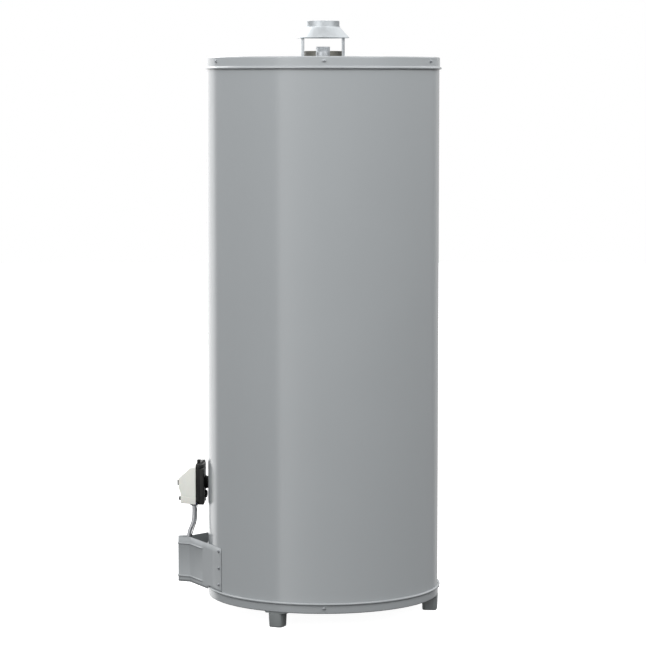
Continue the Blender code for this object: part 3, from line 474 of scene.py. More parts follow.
def make_pans():
    hole = span("flue_tube")[1].x + 0.0008
    profile = [(hole, TOP_Z - SHEET), (hole, TOP_Z)] + pan_profile(TOP_Z, -1, TOP_LOW + BEAD_R)
    top = piece("top_pan_detail", turned(profile, BIG), "grey_paint", "top_pan")
    cutters = []
    for node, clear in (("hot_nipple", 0.003), ("cold_nipple", 0.003), ("anode_cap", -0.0056)):
        centre, r = middle(node), extent(node).x / 2 + clear
        cutters.append(moved(rod(r, -0.01, 0.01), shift(centre.x, centre.y, TOP_Z)))
    cut(top, joined(*cutters))
    air_hole = 0.110
    profile = [(air_hole, LEG_H + SHEET), (air_hole, LEG_H)] + pan_profile(LEG_H, 1, BASE_HIGH - BEAD_R)
    piece("base_pan_detail", turned(profile, BIG), "grey_paint", "base_pan")


def make_legs():
    """Tapered feet with flat corners, each with an eared flange against the pan."""
    outline = [Vector((x, y, 0)) for x, y in rounded(box_outline(0.046, 0.048, 0.010), 2)]
    foot = bmesh.new()
    levels = ((0.000, 0.88), (0.003, 0.93), (LEG_H - 0.0030, 1.0))
    loops = [[foot.verts.new(p * scale + Vector((0, 0, z))) for p in outline] for z, scale in levels]
    skin(foot, loops)
    foot.faces.new(loops[0])
    foot.faces.new(loops[-1])
    soften(foot, 0.0009, radians(10))
    flange = prism(box_outline(0.0695, 0.0475, 0.010), LEG_H - 0.0032, LEG_H - GAP, 0.0006)
    bolts = [moved(hexagon(0.0090, -0.0030, 0.0, 0.0005), shift(x, 0.006, LEG_H - 0.0032))
             for x in (-0.0275, 0.0275)]
    shared = new_mesh("leg", joined(foot, flange, *bolts), "leg_paint", radians(24))
    for node, bearing in (("leg_right", radians(73)), ("leg_left", radians(-73)), ("leg_rear", pi)):
        piece(f"{node}_detail", shared, "leg_paint", node, upright(bearing, 0.330))


def make_screws():
    """Hex washer head screws: one mesh, placed where the frame's screws are."""
    washer = [(0, -0.0075), (0.0017, -0.0075, 0.001), (0.0017, -0.0002), (0.0049, -0.0002)]
    washer += [(0.0049, 0.0006, 0.0004), (0.0037, 0.0013, 0.0004), (0.0030, 0.0013), (0, 0.0013)]
    head = hexagon(0.0076, 0.0008, 0.0039, 0.0005)
    shared = new_mesh("screw", joined(turned(washer, 24, 2), head), "zinc_plate")
    for node in sorted(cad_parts):
        if "_screw_" in node:
            centre = middle(node)
            bearing = atan2(centre.x, -centre.y)
            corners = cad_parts[node].data.vertices
            seat = max(outwards(bearing).dot(v.co - AXIS) for v in corners) - 0.0040
            piece(f"{node}_detail", shared, "zinc_plate", node, side_frame(bearing, seat, centre.z))


# ---- Burner compartment ------------------------------------------------------------------------------
def shield_plan():
    """The shield's plan from its left edge to its right, with bent corners, as points 4 mm apart or less."""
    flange_r = JACKET_R + 2 * GAP + 0.0006
    flange = [radians(36.9 - 10.9 * i / 8) for i in range(9)]
    right = [(flange_r * sin(a), -flange_r * cos(a)) for a in flange[:-1]]
    right += [(flange_r * sin(flange[-1]), -flange_r * cos(flange[-1]), 0.003)]
    right += [(0.0185, -0.4110, 0.005), (0.0085, -0.4465, 0.004), (0.0025, -0.4508, 0.003)]
    whole = [(-p[0], *p[1:]) for p in right] + right[::-1]
    plan = [Vector(p) for p in rounded(whole, 5, closed=False)]
    dense = [plan[0]]
    for point in plan[1:]:
        count = ceil((point - dense[-1]).length / 0.004)
        start = dense[-1]
        dense += [start.lerp(point, (k + 1) / count) for k in range(count)]
    return dense


def make_shield():
    """Bent sheet round the burner opening with two pressed ribs, open above and below."""
    plan = shield_plan()
    flange_low, thick = 0.0793, 0.0012
    rib_half, rib_rise, taper = 0.0040, 0.0026, 0.010
    ribs = (SHIELD_LOW + 0.0175, SHIELD_HIGH - 0.0215)
    clear_of_bead, rib_from = 0.3606, 0.3690  # distances from the axis
    levels = [SHIELD_LOW, flange_low]
    for middle in ribs:
        levels += [middle + rib_half * k / 4 for k in range(-4, 5)]
    levels += [(ribs[0] + ribs[1]) / 2, SHIELD_HIGH]
    levels.sort()
    rib_end = next(p for p in plan if p.length > rib_from)
    bm, grid = bmesh.new(), []
    for z in levels:
        row = []
        for i, point in enumerate(plan):
            along = (plan[min(i + 1, len(plan) - 1)] - plan[max(i - 1, 0)]).normalized()
            away = Vector((along.y, -along.x, 0))
            inside = max(0.0, min(1.0, (abs(rib_end.x) - abs(point.x)) / taper))
            lift = max(0.0, *(1 - abs(z - m) / rib_half for m in ribs)) if inside else 0.0
            smooth_lift = lift * lift * (3 - 2 * lift) * inside * inside * (3 - 2 * inside)
            row.append(bm.verts.new(Vector((*point, z)) + away * rib_rise * smooth_lift))
        grid.append(row)
    for z, lower, upper in zip(levels, grid, grid[1:]):
        for i in range(len(plan) - 1):
            over_bead = min(plan[i].length, plan[i + 1].length) < clear_of_bead
            if z >= flange_low or not over_bead:
                bm.faces.new((lower[i], lower[i + 1], upper[i + 1], upper[i]))
    bmesh.ops.delete(bm, geom=[v for v in bm.verts if not v.link_faces], context="VERTS")
    shield = piece("burner_shield_detail", bm, "grey_paint", "burner_shield")
    shield.data.materials[0] = FINISHES["satin_grey"]
    wall = shield.modifiers.new("sheet", "SOLIDIFY")
    wall.thickness, wall.offset, wall.use_even_offset = thick, 0, True

    # Painted shade: a dark sheet just inside the shield's wall, darker than the shield's own grey paint,
    # stands in for the shade inside the burner compartment.
    bm, inside = bmesh.new(), []
    for one, two in zip(plan, plan[1:]):
        if one.length > clear_of_bead + 0.004 and two.length > clear_of_bead + 0.004:
            along = (two - one).normalized()
            inside.append((one + two) / 2 - Vector((along.y, -along.x)) * (thick / 2 + 0.0006))
    heights = (SHIELD_LOW + 0.002, SHIELD_HIGH - 0.0015)
    lower, upper = [[bm.verts.new((p.x, p.y, z)) for p in inside] for z in heights]
    for i in range(len(inside) - 1):
        bm.faces.new((lower[i], lower[i + 1], upper[i + 1], upper[i]))
    painted_shade_lining = piece("burner_shield_lining", bm, "leg_paint")
    wall = painted_shade_lining.modifiers.new("sheet", "SOLIDIFY")
    wall.thickness, wall.offset = 0.0005, 0


def make_burner_fittings():
    """Bezel and screws of the door, and the gas lines from the control to the burner."""
    glass = middle("sight_glass")
    bearing = asin(glass.x / JACKET_R)
    reach = JACKET_R + GAP + 0.0015
    bezel = [(0.0100, 0.0004), (0.0165, 0.0004), (0.0165, 0.0016, 0.0008), (0.0100, 0.0022, 0.0006)]
    piece("sight_glass_bezel", turned(bezel), "zinc_plate", place=side_frame(bearing, reach, glass.z))
    studs = [moved(hexagon(0.0070, 0.0003, 0.0032, 0.0004), side_frame(radians(side * 16.3), reach, z))
             for side in (-1, 1) for z in (0.100, 0.190)]
    piece("door_screws", joined(*studs), "zinc_plate")

    top = HOUSING_LOW - GAP
    y = -0.4010
    bore = 0.0067
    washer = [(bore, top - 0.0014), (0.0112, top - 0.0014, 0.0004), (0.0112, top), (bore, top)]
    sleeve = [(bore, top - 0.0105), (0.0092, top - 0.0105, 0.0008)]
    sleeve += [(0.0098, top - 0.0078), (bore, top - 0.0078)]
    nut = joined(prism(ring(0.0137, 6), top - 0.0080, top - 0.0012, 0.0007), turned(washer), turned(sleeve))
    piece("manifold_nut_detail", nut, "zinc_plate", "manifold_nut", shift(y=y))
    main = [(0, y, top - 0.001), (0, y, 0.285), (0, y - 0.0028, 0.257), (0, y - 0.0143, 0.226)]
    main += [(0, y - 0.0168, 0.198), (0, -0.4030, 0.163), (0, -0.3750, 0.145), (0, -0.3400, 0.141)]
    main += [(0, -0.2700, 0.131), (0, -0.2060, 0.124)]
    piece("manifold_tube_detail", sweep(main, 0.0063, 28), "aluminium_tube", "manifold_tube")
    x = -0.0178
    side = [(x, y, top - 0.001), (x, y, 0.295), (-0.0130, y - 0.0025, 0.262), (-0.0100, y - 0.0118, 0.230)]
    side += [(-0.0105, y - 0.0110, 0.198), (-0.0190, -0.3850, 0.163), (-0.0200, -0.3500, 0.150)]
    side += [(-0.0120, -0.1740, 0.150)]
    piece("pilot_tube_detail", sweep(side, 0.0027, 16), "aluminium_tube", "pilot_tube")
    lead = [(-0.0121, y + 0.0070, top - 0.001), (-0.0112, y + 0.0070, 0.303), (-0.0060, y + 0.0064, 0.287)]
    lead += [(-0.0050, y + 0.0048, 0.257), (-0.0020, y - 0.0050, 0.226), (0.0100, y - 0.0080, 0.198)]
    lead += [(0.0185, -0.3850, 0.163), (0.0200, -0.3500, 0.150), (0.0030, -0.1740, 0.150)]
    piece("igniter_lead_detail", sweep(lead, 0.0015, 12), "lead_sleeve", "igniter_lead")
    nut = moved(hexagon(0.0095, 0, 0.0060, 0.0005), shift(x, y, top - 0.0062))
    collar = [(0.0028, -0.001), (0.0044, -0.001, 0.0005), (0.0040, 0.004, 0.0005), (0.0028, 0.004)]
    ferrule = moved(turned(collar, SMALL), side_frame(0, 0.3548, 0.1500), shift(-0.0200))
    piece("pilot_tube_fittings", joined(nut, ferrule), "brass")


# ---- Gas control -------------------------------------------------------------------------------------
SEAM_Z = 0.3405  # joint line round the lower part of the control
NOSE_LOW, COVER_BREAK = (COVER_NOSE, 0.3660), (0.4378, 0.3500)  # ends of the cover's slope with the lens


def groove(bm, height, half_width, depth, centre_reach):
    """Cuts a V groove round a shape at local height Y, drawn in towards the line X = 0 at a reach."""
    for level in (height - half_width, height + half_width, height):
        geometry = bm.verts[:] + bm.edges[:] + bm.faces[:]
        bmesh.ops.bisect_plane(bm, geom=geometry, plane_co=(0, level, 0), plane_no=(0, 1, 0), dist=1e-6)
    for v in bm.verts:
        if abs(v.co.y - height) < 1e-5:
            inwards = Vector((-v.co.x * 0.5, 0, (centre_reach - v.co.z) * 1.2))
            v.co += inwards.normalized() * depth
    return bm


def make_housing():
    """Black casting behind the cover: body with a flanged rim and ribs, shank boss, test nub and plug."""
    hump_back, back, front = 0.3673, 0.3745, HOUSING_FRONT
    half, top = 0.062, 0.4454
    upper = [(half, top - 0.0100, 0.003), (half - 0.0065, top - 0.0026, 0.003), (0.034, top, 0.004)]
    right = [(half - 0.008, HOUSING_LOW, 0.003), (half, HOUSING_LOW + 0.010, 0.003), *upper]
    outline = right + [(-u, v, r) for u, v, r in right[::-1]]
    rim = [(u * 1.010 if abs(u) > 0.05 and v < 0.436 else u, v, r) for u, v, r in outline]
    body = groove(prism(outline, back, front - 0.0030, 0.0016), SEAM_Z, 0.0006, 0.0008, (back + front) / 2)
    parts = [prism(rim, front - 0.0034, front, 0.0006)]
    plan = [(0.058, back + 0.001), (0.021, hump_back, 0.003)]
    plan += [(-u, *rest) for u, *rest in plan[::-1]]
    hump = prism(plan, HOUSING_LOW + 0.002, top - 0.0060, 0.0012)
    parts.append(groove(moved(hump, STANDING), SEAM_Z, 0.0006, 0.0008, back + 0.002))
    deep = hump_back - 0.0033  # the right half is deeper than the left
    plan = [(0.0600, back + 0.002), (0.0600, deep - 0.0034, 0.002), (0.0050, deep + 0.0022, 0.002)]
    plan.append((0.0050, back + 0.002))
    deeper = prism(plan, HOUSING_LOW + 0.0008, top - 0.0164, 0.0012)
    parts.append(groove(moved(deeper, STANDING), SEAM_Z, 0.0006, 0.0008, back + 0.002))
    for side in (-half, half):
        for reach in (back + 0.0022, back + 0.0058):
            rib = [(reach + u, 0.383 + v, r) for u, v, r in box_outline(0.0018, 0.062, 0.0003)]
            parts.append(moved(prism(rib, side - 0.0007, side + 0.0007, 0.0002), ACROSS))
    bore = SHANK_R + 0.0007
    boss = [(bore, hump_back + 0.007), (bore, 0.3535), (0.0162, 0.3535, 0.0006), (0.0172, 0.3575, 0.006)]
    boss += [(0.0200, 0.3640, 0.006), (0.0280, hump_back + 0.0010, 0.0008), (0.0280, hump_back + 0.007)]
    parts.append(moved(turned(boss), shift(y=CONTROL_Z)))
    centre, end = middle("gas_inlet"), span("gas_inlet")[1].x
    inlet_place = shift(end, centre.z, -centre.y) @ Matrix.Rotation(-pi / 2, 4, "Y")
    inlet_boss = [(0.0105, -0.032), (0.0155, -0.032), (0.0155, -GAP, 0.0008), (0.0105, -GAP)]
    parts.append(moved(turned(inlet_boss), inlet_place))
    plug = [(0, hump_back + 0.006), (0, 0.3612), (0.0040, 0.3612), (0.0044, 0.3598, 0.0004)]
    plug += [(0.0104, 0.3598, 0.0012), (0.0118, 0.3615, 0.0006), (0.0118, hump_back + 0.006)]
    parts.append(moved(turned(plug, SMALL), shift(y=0.3445)))
    nub = [(u + 0.032, v + top + 0.0042, r) for u, v, r in box_outline(0.014, 0.0110, 0.002)]
    parts.append(prism(nub, back + 0.0012, front - 0.0004, 0.0012))
    for x in (-0.048, 0.048):
        tip, seat = back - 0.0024, back + 0.002
        screw = turned([(0, tip), (0.0042, tip, 0.0006), (0.0042, seat), (0, seat)], 24)
        parts.append(moved(screw, shift(x, 0.4180)))
    piece("control_housing_detail", joined(body, *parts), "control_casting", "control_housing", side_frame(0))
    inlet = [(0.0105, 0.0), (0.0150, 0.0), (0.0150, 0.0145, 0.0015), (0.0118, 0.016, 0.0003)]
    inlet += [(0.0112 - 0.0006 * (i % 2), 0.0152 - 0.0007 * i) for i in range(18)]
    piece("gas_inlet_detail", turned(inlet), "zinc_plate", "gas_inlet", side_frame(0) @ inlet_place)


def make_cover():
    """Moulded cover that narrows towards its nose, with rounded edges and a parting groove low down."""
    base, straight = HOUSING_FRONT + GAP, 0.3930
    low = HOUSING_LOW + 0.0012
    side = [(base, 0.4330), (straight, 0.4330), (0.4055, 0.4303), (0.4420, 0.3966), (COVER_NOSE, 0.3942)]
    side += [NOSE_LOW, COVER_BREAK, (0.4368, 0.3208), (0.4350, low), (straight, low), (base, low)]
    wide, narrow = 0.0600, 0.0340
    taper = (narrow - wide) / (COVER_NOSE - straight)
    halves = [wide + taper * max(0, reach - straight) for reach, _ in side]
    bm = bmesh.new()
    loops = []
    for sign in (-1, 1):
        loops.append([bm.verts.new((sign * half, z, reach)) for half, (reach, z) in zip(halves, side)])
    left, right = loops
    for i in range(len(side) - 1):
        bm.faces.new((left[i], right[i], right[i + 1], left[i + 1]))
    for loop in loops:
        bm.faces.new((loop[0], loop[1], loop[-2], loop[-1]))
        bm.faces.new(loop[1:-1])
    soften(bm, 0.0022, radians(12), 4)
    groove(bm, SEAM_Z, 0.0011, 0.0011, 0.400)
    cover = piece("control_cover_detail", bm, "cover_plastic", "control_cover", side_frame(0))
    wall = cover.modifiers.new("wall", "SOLIDIFY")
    wall.thickness, wall.offset = 0.0020, -1
    settle(cover)
    holes = [moved(rod(r, 0.425, 0.460), shift(y=z)) for z, r in ((DIAL_Z, 0.0045), (BUTTON_Z, 0.0068))]
    cut(cover, joined(*holes))
    marks = []
    for i in range(-3, 4):
        for side_turn in (0, pi):
            bar = prism(box_outline(0.0030, 0.0008, 0.0002), COVER_NOSE - 0.0002, COVER_NOSE + 0.00015)
            turn = shift(y=DIAL_Z) @ Matrix.Rotation(side_turn + radians(12 * i), 4, "Z")
            marks.append(moved(bar, turn, shift(0.0150)))
    piece("dial_marks", joined(*marks), "knob_plastic", place=side_frame(0))


def make_controls():
    """Dial with a grip bar, status lens with a rim, and the push button in its sleeve."""
    face = COVER_NOSE + GAP
    depth = DIAL_FRONT - face
    skirt = [(0, -0.0140), (0.0036, -0.0140), (0.0036, 0.0), (DIAL_R, 0.0, 0.0003), (DIAL_R, 0.0016, 0.0004)]
    skirt += [(0.91 * DIAL_R, 0.0021), (0.86 * DIAL_R, 0.62 * depth, 0.0006), (0.40 * DIAL_R, 0.70 * depth)]
    skirt.append((0, 0.70 * depth))
    knob = turned(skirt, 80)
    for v in knob.verts:
        if v.co.z > 0.0022 and v.co.xy.length > 0.8 * DIAL_R:
            v.co.xy *= 1 - 0.035 * (v.index % 2)
    grip = prism(box_outline(0.0042, 1.62 * DIAL_R, 0.0018), 0.5 * depth, depth, 0.0008)
    pointer = prism(box_outline(0.0010, 0.0040, 0.0004), depth - 0.0005, depth - 0.00005)
    moved(pointer, shift(y=0.0052))
    place = side_frame(0, face, DIAL_Z)
    whole = joined(knob, grip)
    dial = piece("temperature_dial_detail", whole, "knob_plastic", "temperature_dial", place, "dial")
    dial.data.set_sharp_from_angle(angle=radians(40))
    piece("dial_pointer", pointer, "cover_plastic", place=place, body="dial")

    slope = atan2(NOSE_LOW[0] - COVER_BREAK[0], NOSE_LOW[1] - COVER_BREAK[1])
    middle = shift(0, (NOSE_LOW[1] + COVER_BREAK[1]) / 2, (NOSE_LOW[0] + COVER_BREAK[0]) / 2)
    lens_place = side_frame(0) @ middle @ Matrix.Rotation(slope, 4, "X")
    lens = [(0, 0.0002), (0.0040, 0.0002), (0.0040, 0.0012, 0.0004), (0.0028, 0.0023, 0.001), (0, 0.0026)]
    piece("status_lens_detail", turned(lens, SMALL), "lens_plastic", "status_lens", lens_place)
    bezel = [(0.0041, 0.0002), (0.0054, 0.0002), (0.0054, 0.0010, 0.0003), (0.0041, 0.0014, 0.0003)]
    piece("status_lens_rim", turned(bezel, SMALL), "knob_plastic", place=lens_place)

    button_r = extent("igniter_button").z / 2
    button = [(0, -0.018), (button_r, -0.018, 0.0008), (button_r, 0.0, 0.0009)]
    button += [(button_r - 0.0022, 0.0, 0.0006), (button_r - 0.0030, -0.0005), (0, -0.0008)]
    place = side_frame(0, BUTTON_FRONT, BUTTON_Z)
    piece("igniter_button_detail", turned(button), "knob_plastic", "igniter_button", place, "button")


# ---- Valves on the left side -------------------------------------------------------------------------
def make_relief_valve():
    side = side_frame(radians(-90), 0, RELIEF_Z)
    body = [(0.0090, 0.292), (0.0130, 0.292, 0.001), (0.0130, 0.3560), (0.0195, 0.3560, 0.0006)]
    body += [(0.0195, 0.3572), (0.0150, 0.3572), (0.0150, 0.3680), (0.0165, 0.3700, 0.001)]
    body += [(0.0165, 0.4020, 0.002), (0.0122, 0.4060, 0.002), (0.0108, 0.4130, 0.0012)]
    body += [(0, 0.4130), (0, 0.300), (0.0090, 0.300)]
    nut = hexagon(0.0390, 0.3574, 0.3676, 0.0008)
    outlet = threaded(0.0160, 0.0130, 0.0, 0.040, 0.0265, 0.0018, 0.0009)
    collar = turned([(0.0150, 0.0205), (0.0172, 0.0205, 0.0008), (0.0172, 0.0262, 0.0008), (0.0150, 0.0262)])
    ears = []
    for x in (-0.0077, 0.0077):
        ear = [(0.4080, 0.0, 0.0006), (0.4225, 0.0, 0.002), (0.4225, 0.0125, 0.004), (0.4080, 0.0125, 0.001)]
        ears.append(moved(prism(ear, x - 0.0014, x + 0.0014, 0.0004), ACROSS))
    pivot = shift(0, 0.0075, 0.4172)
    sideways = Matrix.Rotation(pi / 2, 4, "Y")
    pin = [(0, -0.0100), (0.0021, -0.0100, 0.0008), (0.0021, -0.0091), (0.0012, -0.0091), (0.0012, 0.0091)]
    pin += [(0.0021, 0.0091), (0.0021, 0.0100, 0.0008), (0, 0.0100)]
    pin = moved(turned(pin, SMALL), pivot, sideways)
    branch = shift(z=0.3860) @ DOWN
    shape = joined(turned(body), nut, moved(outlet, branch), moved(collar, branch), pin, *ears)
    piece("relief_valve_detail", shape, "brass", "relief_valve_body", side)

    arm = [(0.0000, 0.0022, 0.001), (0.0070, 0.0032, 0.002), (0.0070, 0.0400, 0.006), (0.0086, 0.0500, 0.001)]
    arm += [(0.0113, 0.0500, 0.001), (0.0098, 0.0390, 0.006), (0.0098, -0.0022, 0.0018)]
    arm.append((0.0000, -0.0022, 0.001))
    blade = moved(prism(arm, -0.0055, 0.0055, 0.0006), ACROSS)
    lever = piece("relief_lever_detail", blade, "zinc_plate", "relief_lever", side @ pivot, "relief_handle")
    ring_hole = moved(rod(0.0023, -0.02, 0.02), shift(0, 0.0430, 0.009))
    cut(lever, joined(moved(rod(0.0016, -0.02, 0.02, 16), sideways), ring_hole))
    hub = [(0.0016, -0.0055), (0.0034, -0.0055, 0.0004), (0.0034, 0.0055, 0.0004), (0.0016, 0.0055)]
    hub = moved(turned(hub, SMALL), sideways)
    piece("relief_lever_hub", hub, "zinc_plate", place=side @ pivot, body="relief_handle")


def make_drain_valve():
    side = side_frame(DRAIN_BEARING, 0, DRAIN_Z)
    body = [(0.0080, 0.292), (0.0130, 0.292, 0.001), (0.0130, 0.3560), (0.0185, 0.3560, 0.0006)]
    body += [(0.0185, 0.3570), (0.0140, 0.3570), (0.0140, 0.3664), (0.0150, 0.3680, 0.001)]
    body += [(0.0150, 0.4010, 0.002), (0.0110, 0.4045, 0.001), (0, 0.4045), (0, 0.300), (0.0080, 0.300)]
    nut = hexagon(0.0370, 0.3572, 0.3662, 0.0008)
    branch = shift(z=0.3850) @ DOWN
    hose_thread = threaded(0.0132, 0.0098, 0.0, 0.036, 0.0215, 0.0022, 0.0011)
    up = shift(z=0.3850) @ DOWN.inverted()
    bonnet = [(0, 0.004), (0.0085, 0.004), (0.0085, 0.0168, 0.0008), (0.0060, 0.0180, 0.0006)]
    bonnet += [(0.0060, 0.0215), (0, 0.0215)]
    packing_nut = moved(hexagon(0.0190, 0.0130, 0.0172), up)
    shape = joined(turned(body), nut, moved(hose_thread, branch), moved(turned(bonnet), up), packing_nut)
    piece("drain_valve_detail", shape, "brass", "drain_valve_body", side)
    half_plan = [(0.0090, 0.0090, 0.003), (0.0090, -0.0100, 0.010), (0.0070, -0.0400, 0.005)]
    handle = prism(half_plan + [(-x, y, r) for x, y, r in half_plan[::-1]], 0.0219, 0.0250, 0.0009)
    cap = moved(hexagon(0.0080, 0.0248, 0.0259, 0.0003), Matrix.Rotation(radians(15), 4, "Z"))
    piece("drain_handle_detail", handle, "handle_plastic", "drain_handle", side @ up, "drain_cock")
    piece("drain_handle_nut", cap, "zinc_plate", place=side @ up, body="drain_cock")


# ---- Top fittings and draft hood ---------------------------------------------------------------------
FITTINGS_BEARING = radians(97)
SPREAD = 0.1016


def make_top_fittings():
    for node, sign in (("hot_nipple", 1), ("cold_nipple", -1)):
        low, high = span(node)
        place = Matrix.Translation(outwards(FITTINGS_BEARING) * SPREAD * sign)
        r = extent(node).x / 2
        tube = threaded(r, r - 0.0036, low.z, high.z, high.z - 0.0175, 0.0022, 0.0008, 64)
        piece(f"{node}_detail", tube, "zinc_plate", node, place)
        grommet = [(r + 0.0002, TOP_Z + 0.0001), (r + 0.0072, TOP_Z + 0.0001)]
        grommet += [(r + 0.0066, TOP_Z + 0.0017, 0.0006), (r + 0.0002, TOP_Z + 0.0022)]
        piece(f"{node}_grommet", turned(grommet), "knob_plastic", place=place)
    low, high = span("flue_tube")
    r = high.x
    flue = [(r - 0.0025, low.z), (r, low.z), (r, high.z, 0.0006), (r - 0.0025, high.z, 0.0006)]
    piece("flue_tube_detail", turned(flue, 120), "flue_enamel", "flue_tube")
    low, high = span("anode_cap")
    r, centre = extent("anode_cap").x / 2, middle("anode_cap")
    plug = r - 0.006
    cap = [(r, TOP_Z + GAP), (r, TOP_Z + 0.0014, 0.0008), (0.93 * r, TOP_Z + 0.0052, 0.004)]
    cap += [(0.5 * r, high.z, 0.006), (0, high.z), (0, high.z - 0.002), (plug - 0.002, TOP_Z + 0.0035)]
    cap += [(plug - 0.002, low.z), (plug, low.z, 0.0008), (plug, TOP_Z + GAP)]
    piece("anode_cap_detail", turned(cap), "cap_plastic", "anode_cap", shift(centre.x, centre.y))


def make_draft_hood():
    """Spun cone with a hemmed edge, collar with a rolled lip, and four strip legs riveted to the cone."""
    low, high = span("hood_cone")
    reach = high.x
    wall = 0.0012
    collar_r = span("hood_collar")[1].x
    top = span("hood_collar")[1].z
    inner = collar_r + GAP
    outer = inner + wall
    cone = [(reach - 0.0010, low.z, 0.0004), (reach, low.z + 0.0011, 0.0010)]
    cone.append((reach - 0.0010, low.z + 0.0023, 0.0008))
    cone += [(outer + 0.0034, high.z - 0.0062, 0.004), (outer, high.z - 0.0020, 0.002), (outer, high.z)]
    cone += [(inner, high.z), (inner, high.z - 0.0028, 0.003), (inner + 0.0034, high.z - 0.0072, 0.004)]
    cone.append((reach - 0.0026, low.z + 0.0004))
    piece("hood_cone_detail", turned(cone, 120, 6), "galvanised_steel", "hood_cone")
    outside, inside, lip = collar_r - 0.0002, collar_r - 0.0009, collar_r - 0.0016
    collar = [(inside, high.z - 0.006), (outside, high.z - 0.006), (outside, top - 0.0024, 0.0004)]
    collar += [(collar_r, top - 0.0018, 0.0008), (collar_r, top, 0.0008)]
    collar += [(lip, top, 0.0006), (lip, top - 0.0016), (inside, top - 0.0020)]
    seam = prism(box_outline(0.0070, 0.0008, 0.0003), high.z - 0.0002, top - 0.0026)
    moved(seam, shift(y=collar_r - 0.0001))
    piece("hood_collar_detail", joined(turned(collar, 120), seam), "galvanised_steel", "hood_collar")

    leg_r, width, thick, kick = 0.0715, 0.0150, 0.0012, 0.0100
    foot, head = TOP_Z + GAP, span("hood_leg_1")[1].z
    half = thick / 2
    strip = [(kick, foot + thick), (half, foot + thick, 0.0010), (half, head), (-half, head)]
    strip += [(-half, foot, 0.0022), (kick, foot)]
    standing = Matrix(((0, 0, 1, 0), (-1, 0, 0, 0), (0, 1, 0, 0), (0, 0, 0, 1)))
    leg = moved(prism(strip, -width / 2, width / 2, 0.00025), standing)
    dome = turned([(0, 0), (0.0022, 0, 0.0003), (0.0016, 0.0011, 0.0006), (0, 0.0013)], 24)
    rivet = moved(dome, shift(0, -kick * 0.55, foot + thick))
    shared = new_mesh("hood_leg", joined(leg, rivet), "galvanised_steel")
    skew = radians(31)
    for number in range(4):
        bearing = FITTINGS_BEARING - pi / 2 + (skew if number < 2 else -skew) + (pi if number % 2 else 0)
        node = f"hood_leg_{number + 1}"
        piece(f"{node}_detail", shared, "galvanised_steel", node, upright(bearing, leg_r))


# ---- Studio ------------------------------------------------------------------------------------------
CAMERA_BEARING = radians(97)
# (degrees to the right of the camera's side of the studio, brightness of the wall there)
WALL_STOPS = [(-180, 1.80), (-138, 1.70), (-131, 0.26), (-46, 0.20), (-43, 1.85), (-20, 0.95)]
WALL_STOPS += [(0, 0.48), (40, 0.24), (90, 0.28), (146, 0.20), (154, 0.50), (180, 0.60)]
# (sine of the elevation, brightness added there), and how far up and down the walls reach
SKY_STOPS = [(-1, 0), (0.22, 0), (0.36, 1.35), (0.70, 1.35), (0.90, 0.75), (1, 0.75)]
WALL_REACH = [(-1, 0), (-0.45, 0.10), (-0.20, 1), (0.25, 1), (0.40, 0), (1, 0)]


def make_camera():
    distance, height, pitch = 8.1357, 1.6003, 5.080
    data = bpy.data.cameras.new("camera")
    data.lens, data.sensor_width = 149.04, 36
    camera = add("camera", data)
    camera.location = AXIS + outwards(CAMERA_BEARING) * distance + Vector((0, 0, height))
    camera.rotation_euler = (radians(90 - pitch), 0, CAMERA_BEARING)
    bpy.context.scene.camera = camera


def make_world():
    """Studio walls whose brightness depends on the direction, under a bright sky; the camera sees white."""
    world = bpy.data.worlds.new("studio")
    bpy.context.scene.world = world
    world.use_nodes = True
    nodes, links = world.node_tree.nodes, world.node_tree.links

    def operate(operation, *values):
        made = nodes.new("ShaderNodeMath")
        made.operation = operation
        for socket, value in zip(made.inputs, values):
            if isinstance(value, bpy.types.NodeSocket):
                links.new(value, socket)
            else:
                socket.default_value = value
        return made.outputs["Value"]

    def brightness(position, low, high, stops, peak):
        """A value that follows (position, brightness) stops, by way of a colour ramp that ends at a peak."""
        share = nodes.new("ShaderNodeMapRange")
        share.inputs["From Min"].default_value, share.inputs["From Max"].default_value = low, high
        links.new(position, share.inputs["Value"])
        ramp = nodes.new("ShaderNodeValToRGB")
        links.new(share.outputs["Result"], ramp.inputs["Fac"])
        for _ in stops[2:]:
            ramp.color_ramp.elements.new(0.5)
        for element, (at, value) in zip(ramp.color_ramp.elements, stops):
            element.position = (at - low) / (high - low)
            element.color = (*[value / peak] * 3, 1.0)
        return operate("MULTIPLY", ramp.outputs["Color"], peak)

    place = nodes.new("ShaderNodeTexCoord")
    turn = nodes.new("ShaderNodeMapping")
    turn.inputs["Rotation"].default_value = (0, 0, -CAMERA_BEARING)
    parts = nodes.new("ShaderNodeSeparateXYZ")
    links.new(place.outputs["Generated"], turn.inputs["Vector"])
    links.new(turn.outputs["Vector"], parts.inputs["Vector"])
    around = operate("ARCTAN2", parts.outputs["X"], operate("MULTIPLY", parts.outputs["Y"], -1.0))
    degrees = operate("MULTIPLY", around, 180 / pi)
    walls = brightness(degrees, -180, 180, WALL_STOPS, 2.0)
    above = brightness(parts.outputs["Z"], -1, 1, SKY_STOPS, 2.0)
    level = brightness(parts.outputs["Z"], -1, 1, WALL_REACH, 1.0)
    total = operate("ADD", operate("MULTIPLY", walls, level), above)
    ray = nodes.new("ShaderNodeLightPath")
    to_camera = ray.outputs["Is Camera Ray"]
    lit = operate("MULTIPLY", total, operate("SUBTRACT", 1.0, to_camera))
    links.new(operate("ADD", lit, to_camera), nodes["Background"].inputs["Strength"])
    nodes["Background"].inputs["Color"].default_value = (1, 1, 1, 1)


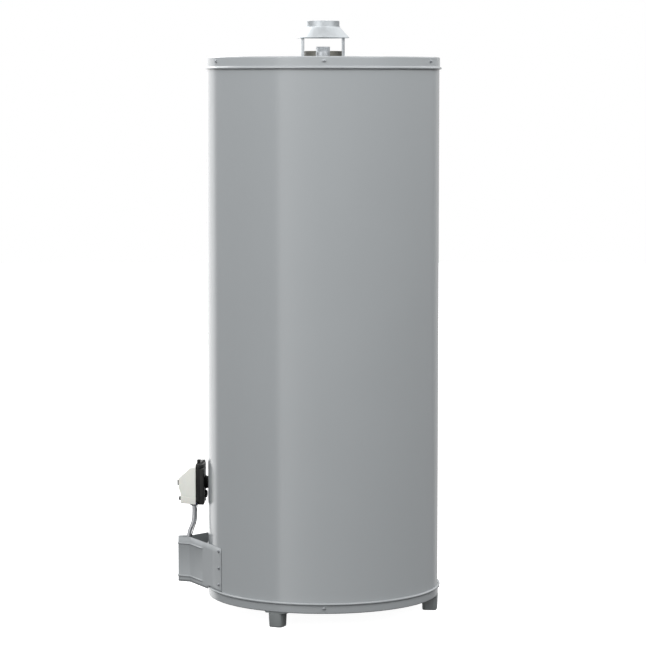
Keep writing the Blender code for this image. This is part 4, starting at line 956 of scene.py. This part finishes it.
def make_floor():
    """Plain white floor, lit from within so that it stays pale under the tank."""
    bm = bmesh.new()
    bmesh.ops.create_circle(bm, cap_ends=True, segments=96, radius=16.0)
    mesh = bpy.data.meshes.new("floor")
    bm.to_mesh(mesh)
    bm.free()
    paint = bpy.data.materials.new("floor_white")
    paint.use_nodes = True
    nodes, links = paint.node_tree.nodes, paint.node_tree.links
    shader = nodes["Principled BSDF"]
    shader.inputs["Roughness"].default_value = 0.9
    shader.inputs["Specular IOR Level"].default_value = 0.0
    shader.inputs["Emission Color"].default_value = (1, 1, 1, 1)
    shader.inputs["Emission Strength"].default_value = 0.95
    speck = nodes.new("ShaderNodeTexNoise")
    speck.inputs["Scale"].default_value = 3.0
    tone = nodes.new("ShaderNodeMapRange")
    tone.inputs["To Min"].default_value, tone.inputs["To Max"].default_value = 0.49, 0.51
    links.new(speck.outputs["Fac"], tone.inputs["Value"])
    links.new(tone.outputs["Result"], shader.inputs["Base Color"])
    mesh.materials.append(paint)
    floor = add("floor", mesh)
    floor.visible_glossy = floor.visible_diffuse = False


def softbox(name, bearing, distance, height, width, tall, power, aim_height):
    """An area light aimed at the tank's axis, out of the camera's sight."""
    data = bpy.data.lights.new(name, "AREA")
    data.shape, data.size, data.size_y, data.energy = "RECTANGLE", width, tall, power
    made = add(name, data)
    made.location = AXIS + outwards(bearing) * distance + Vector((0, 0, height))
    aim = AXIS + Vector((0, 0, aim_height)) - made.location
    made.rotation_euler = aim.to_track_quat("-Z", "Y").to_euler()
    made.visible_camera = False
    return made


def make_studio():
    make_camera()
    make_world()
    make_floor()
    for number, power in enumerate((26, 28, 36, 30)):
        bearing = CAMERA_BEARING + radians(-45 + 90 * number)
        box = softbox(f"high_box_{number + 1}", bearing, 2.5, 3.0, 1.6, 1.6, power, 1.5)
        box.visible_glossy = number != 2  # the right rear box leaves no glare on the hood
    bpy.context.scene.view_settings.view_transform = "Standard"


make_jacket()
make_pans()
make_legs()
make_screws()
make_shield()
make_burner_fittings()
make_housing()
make_cover()
make_controls()
make_relief_valve()
make_drain_valve()
make_top_fittings()
make_draft_hood()
make_studio()
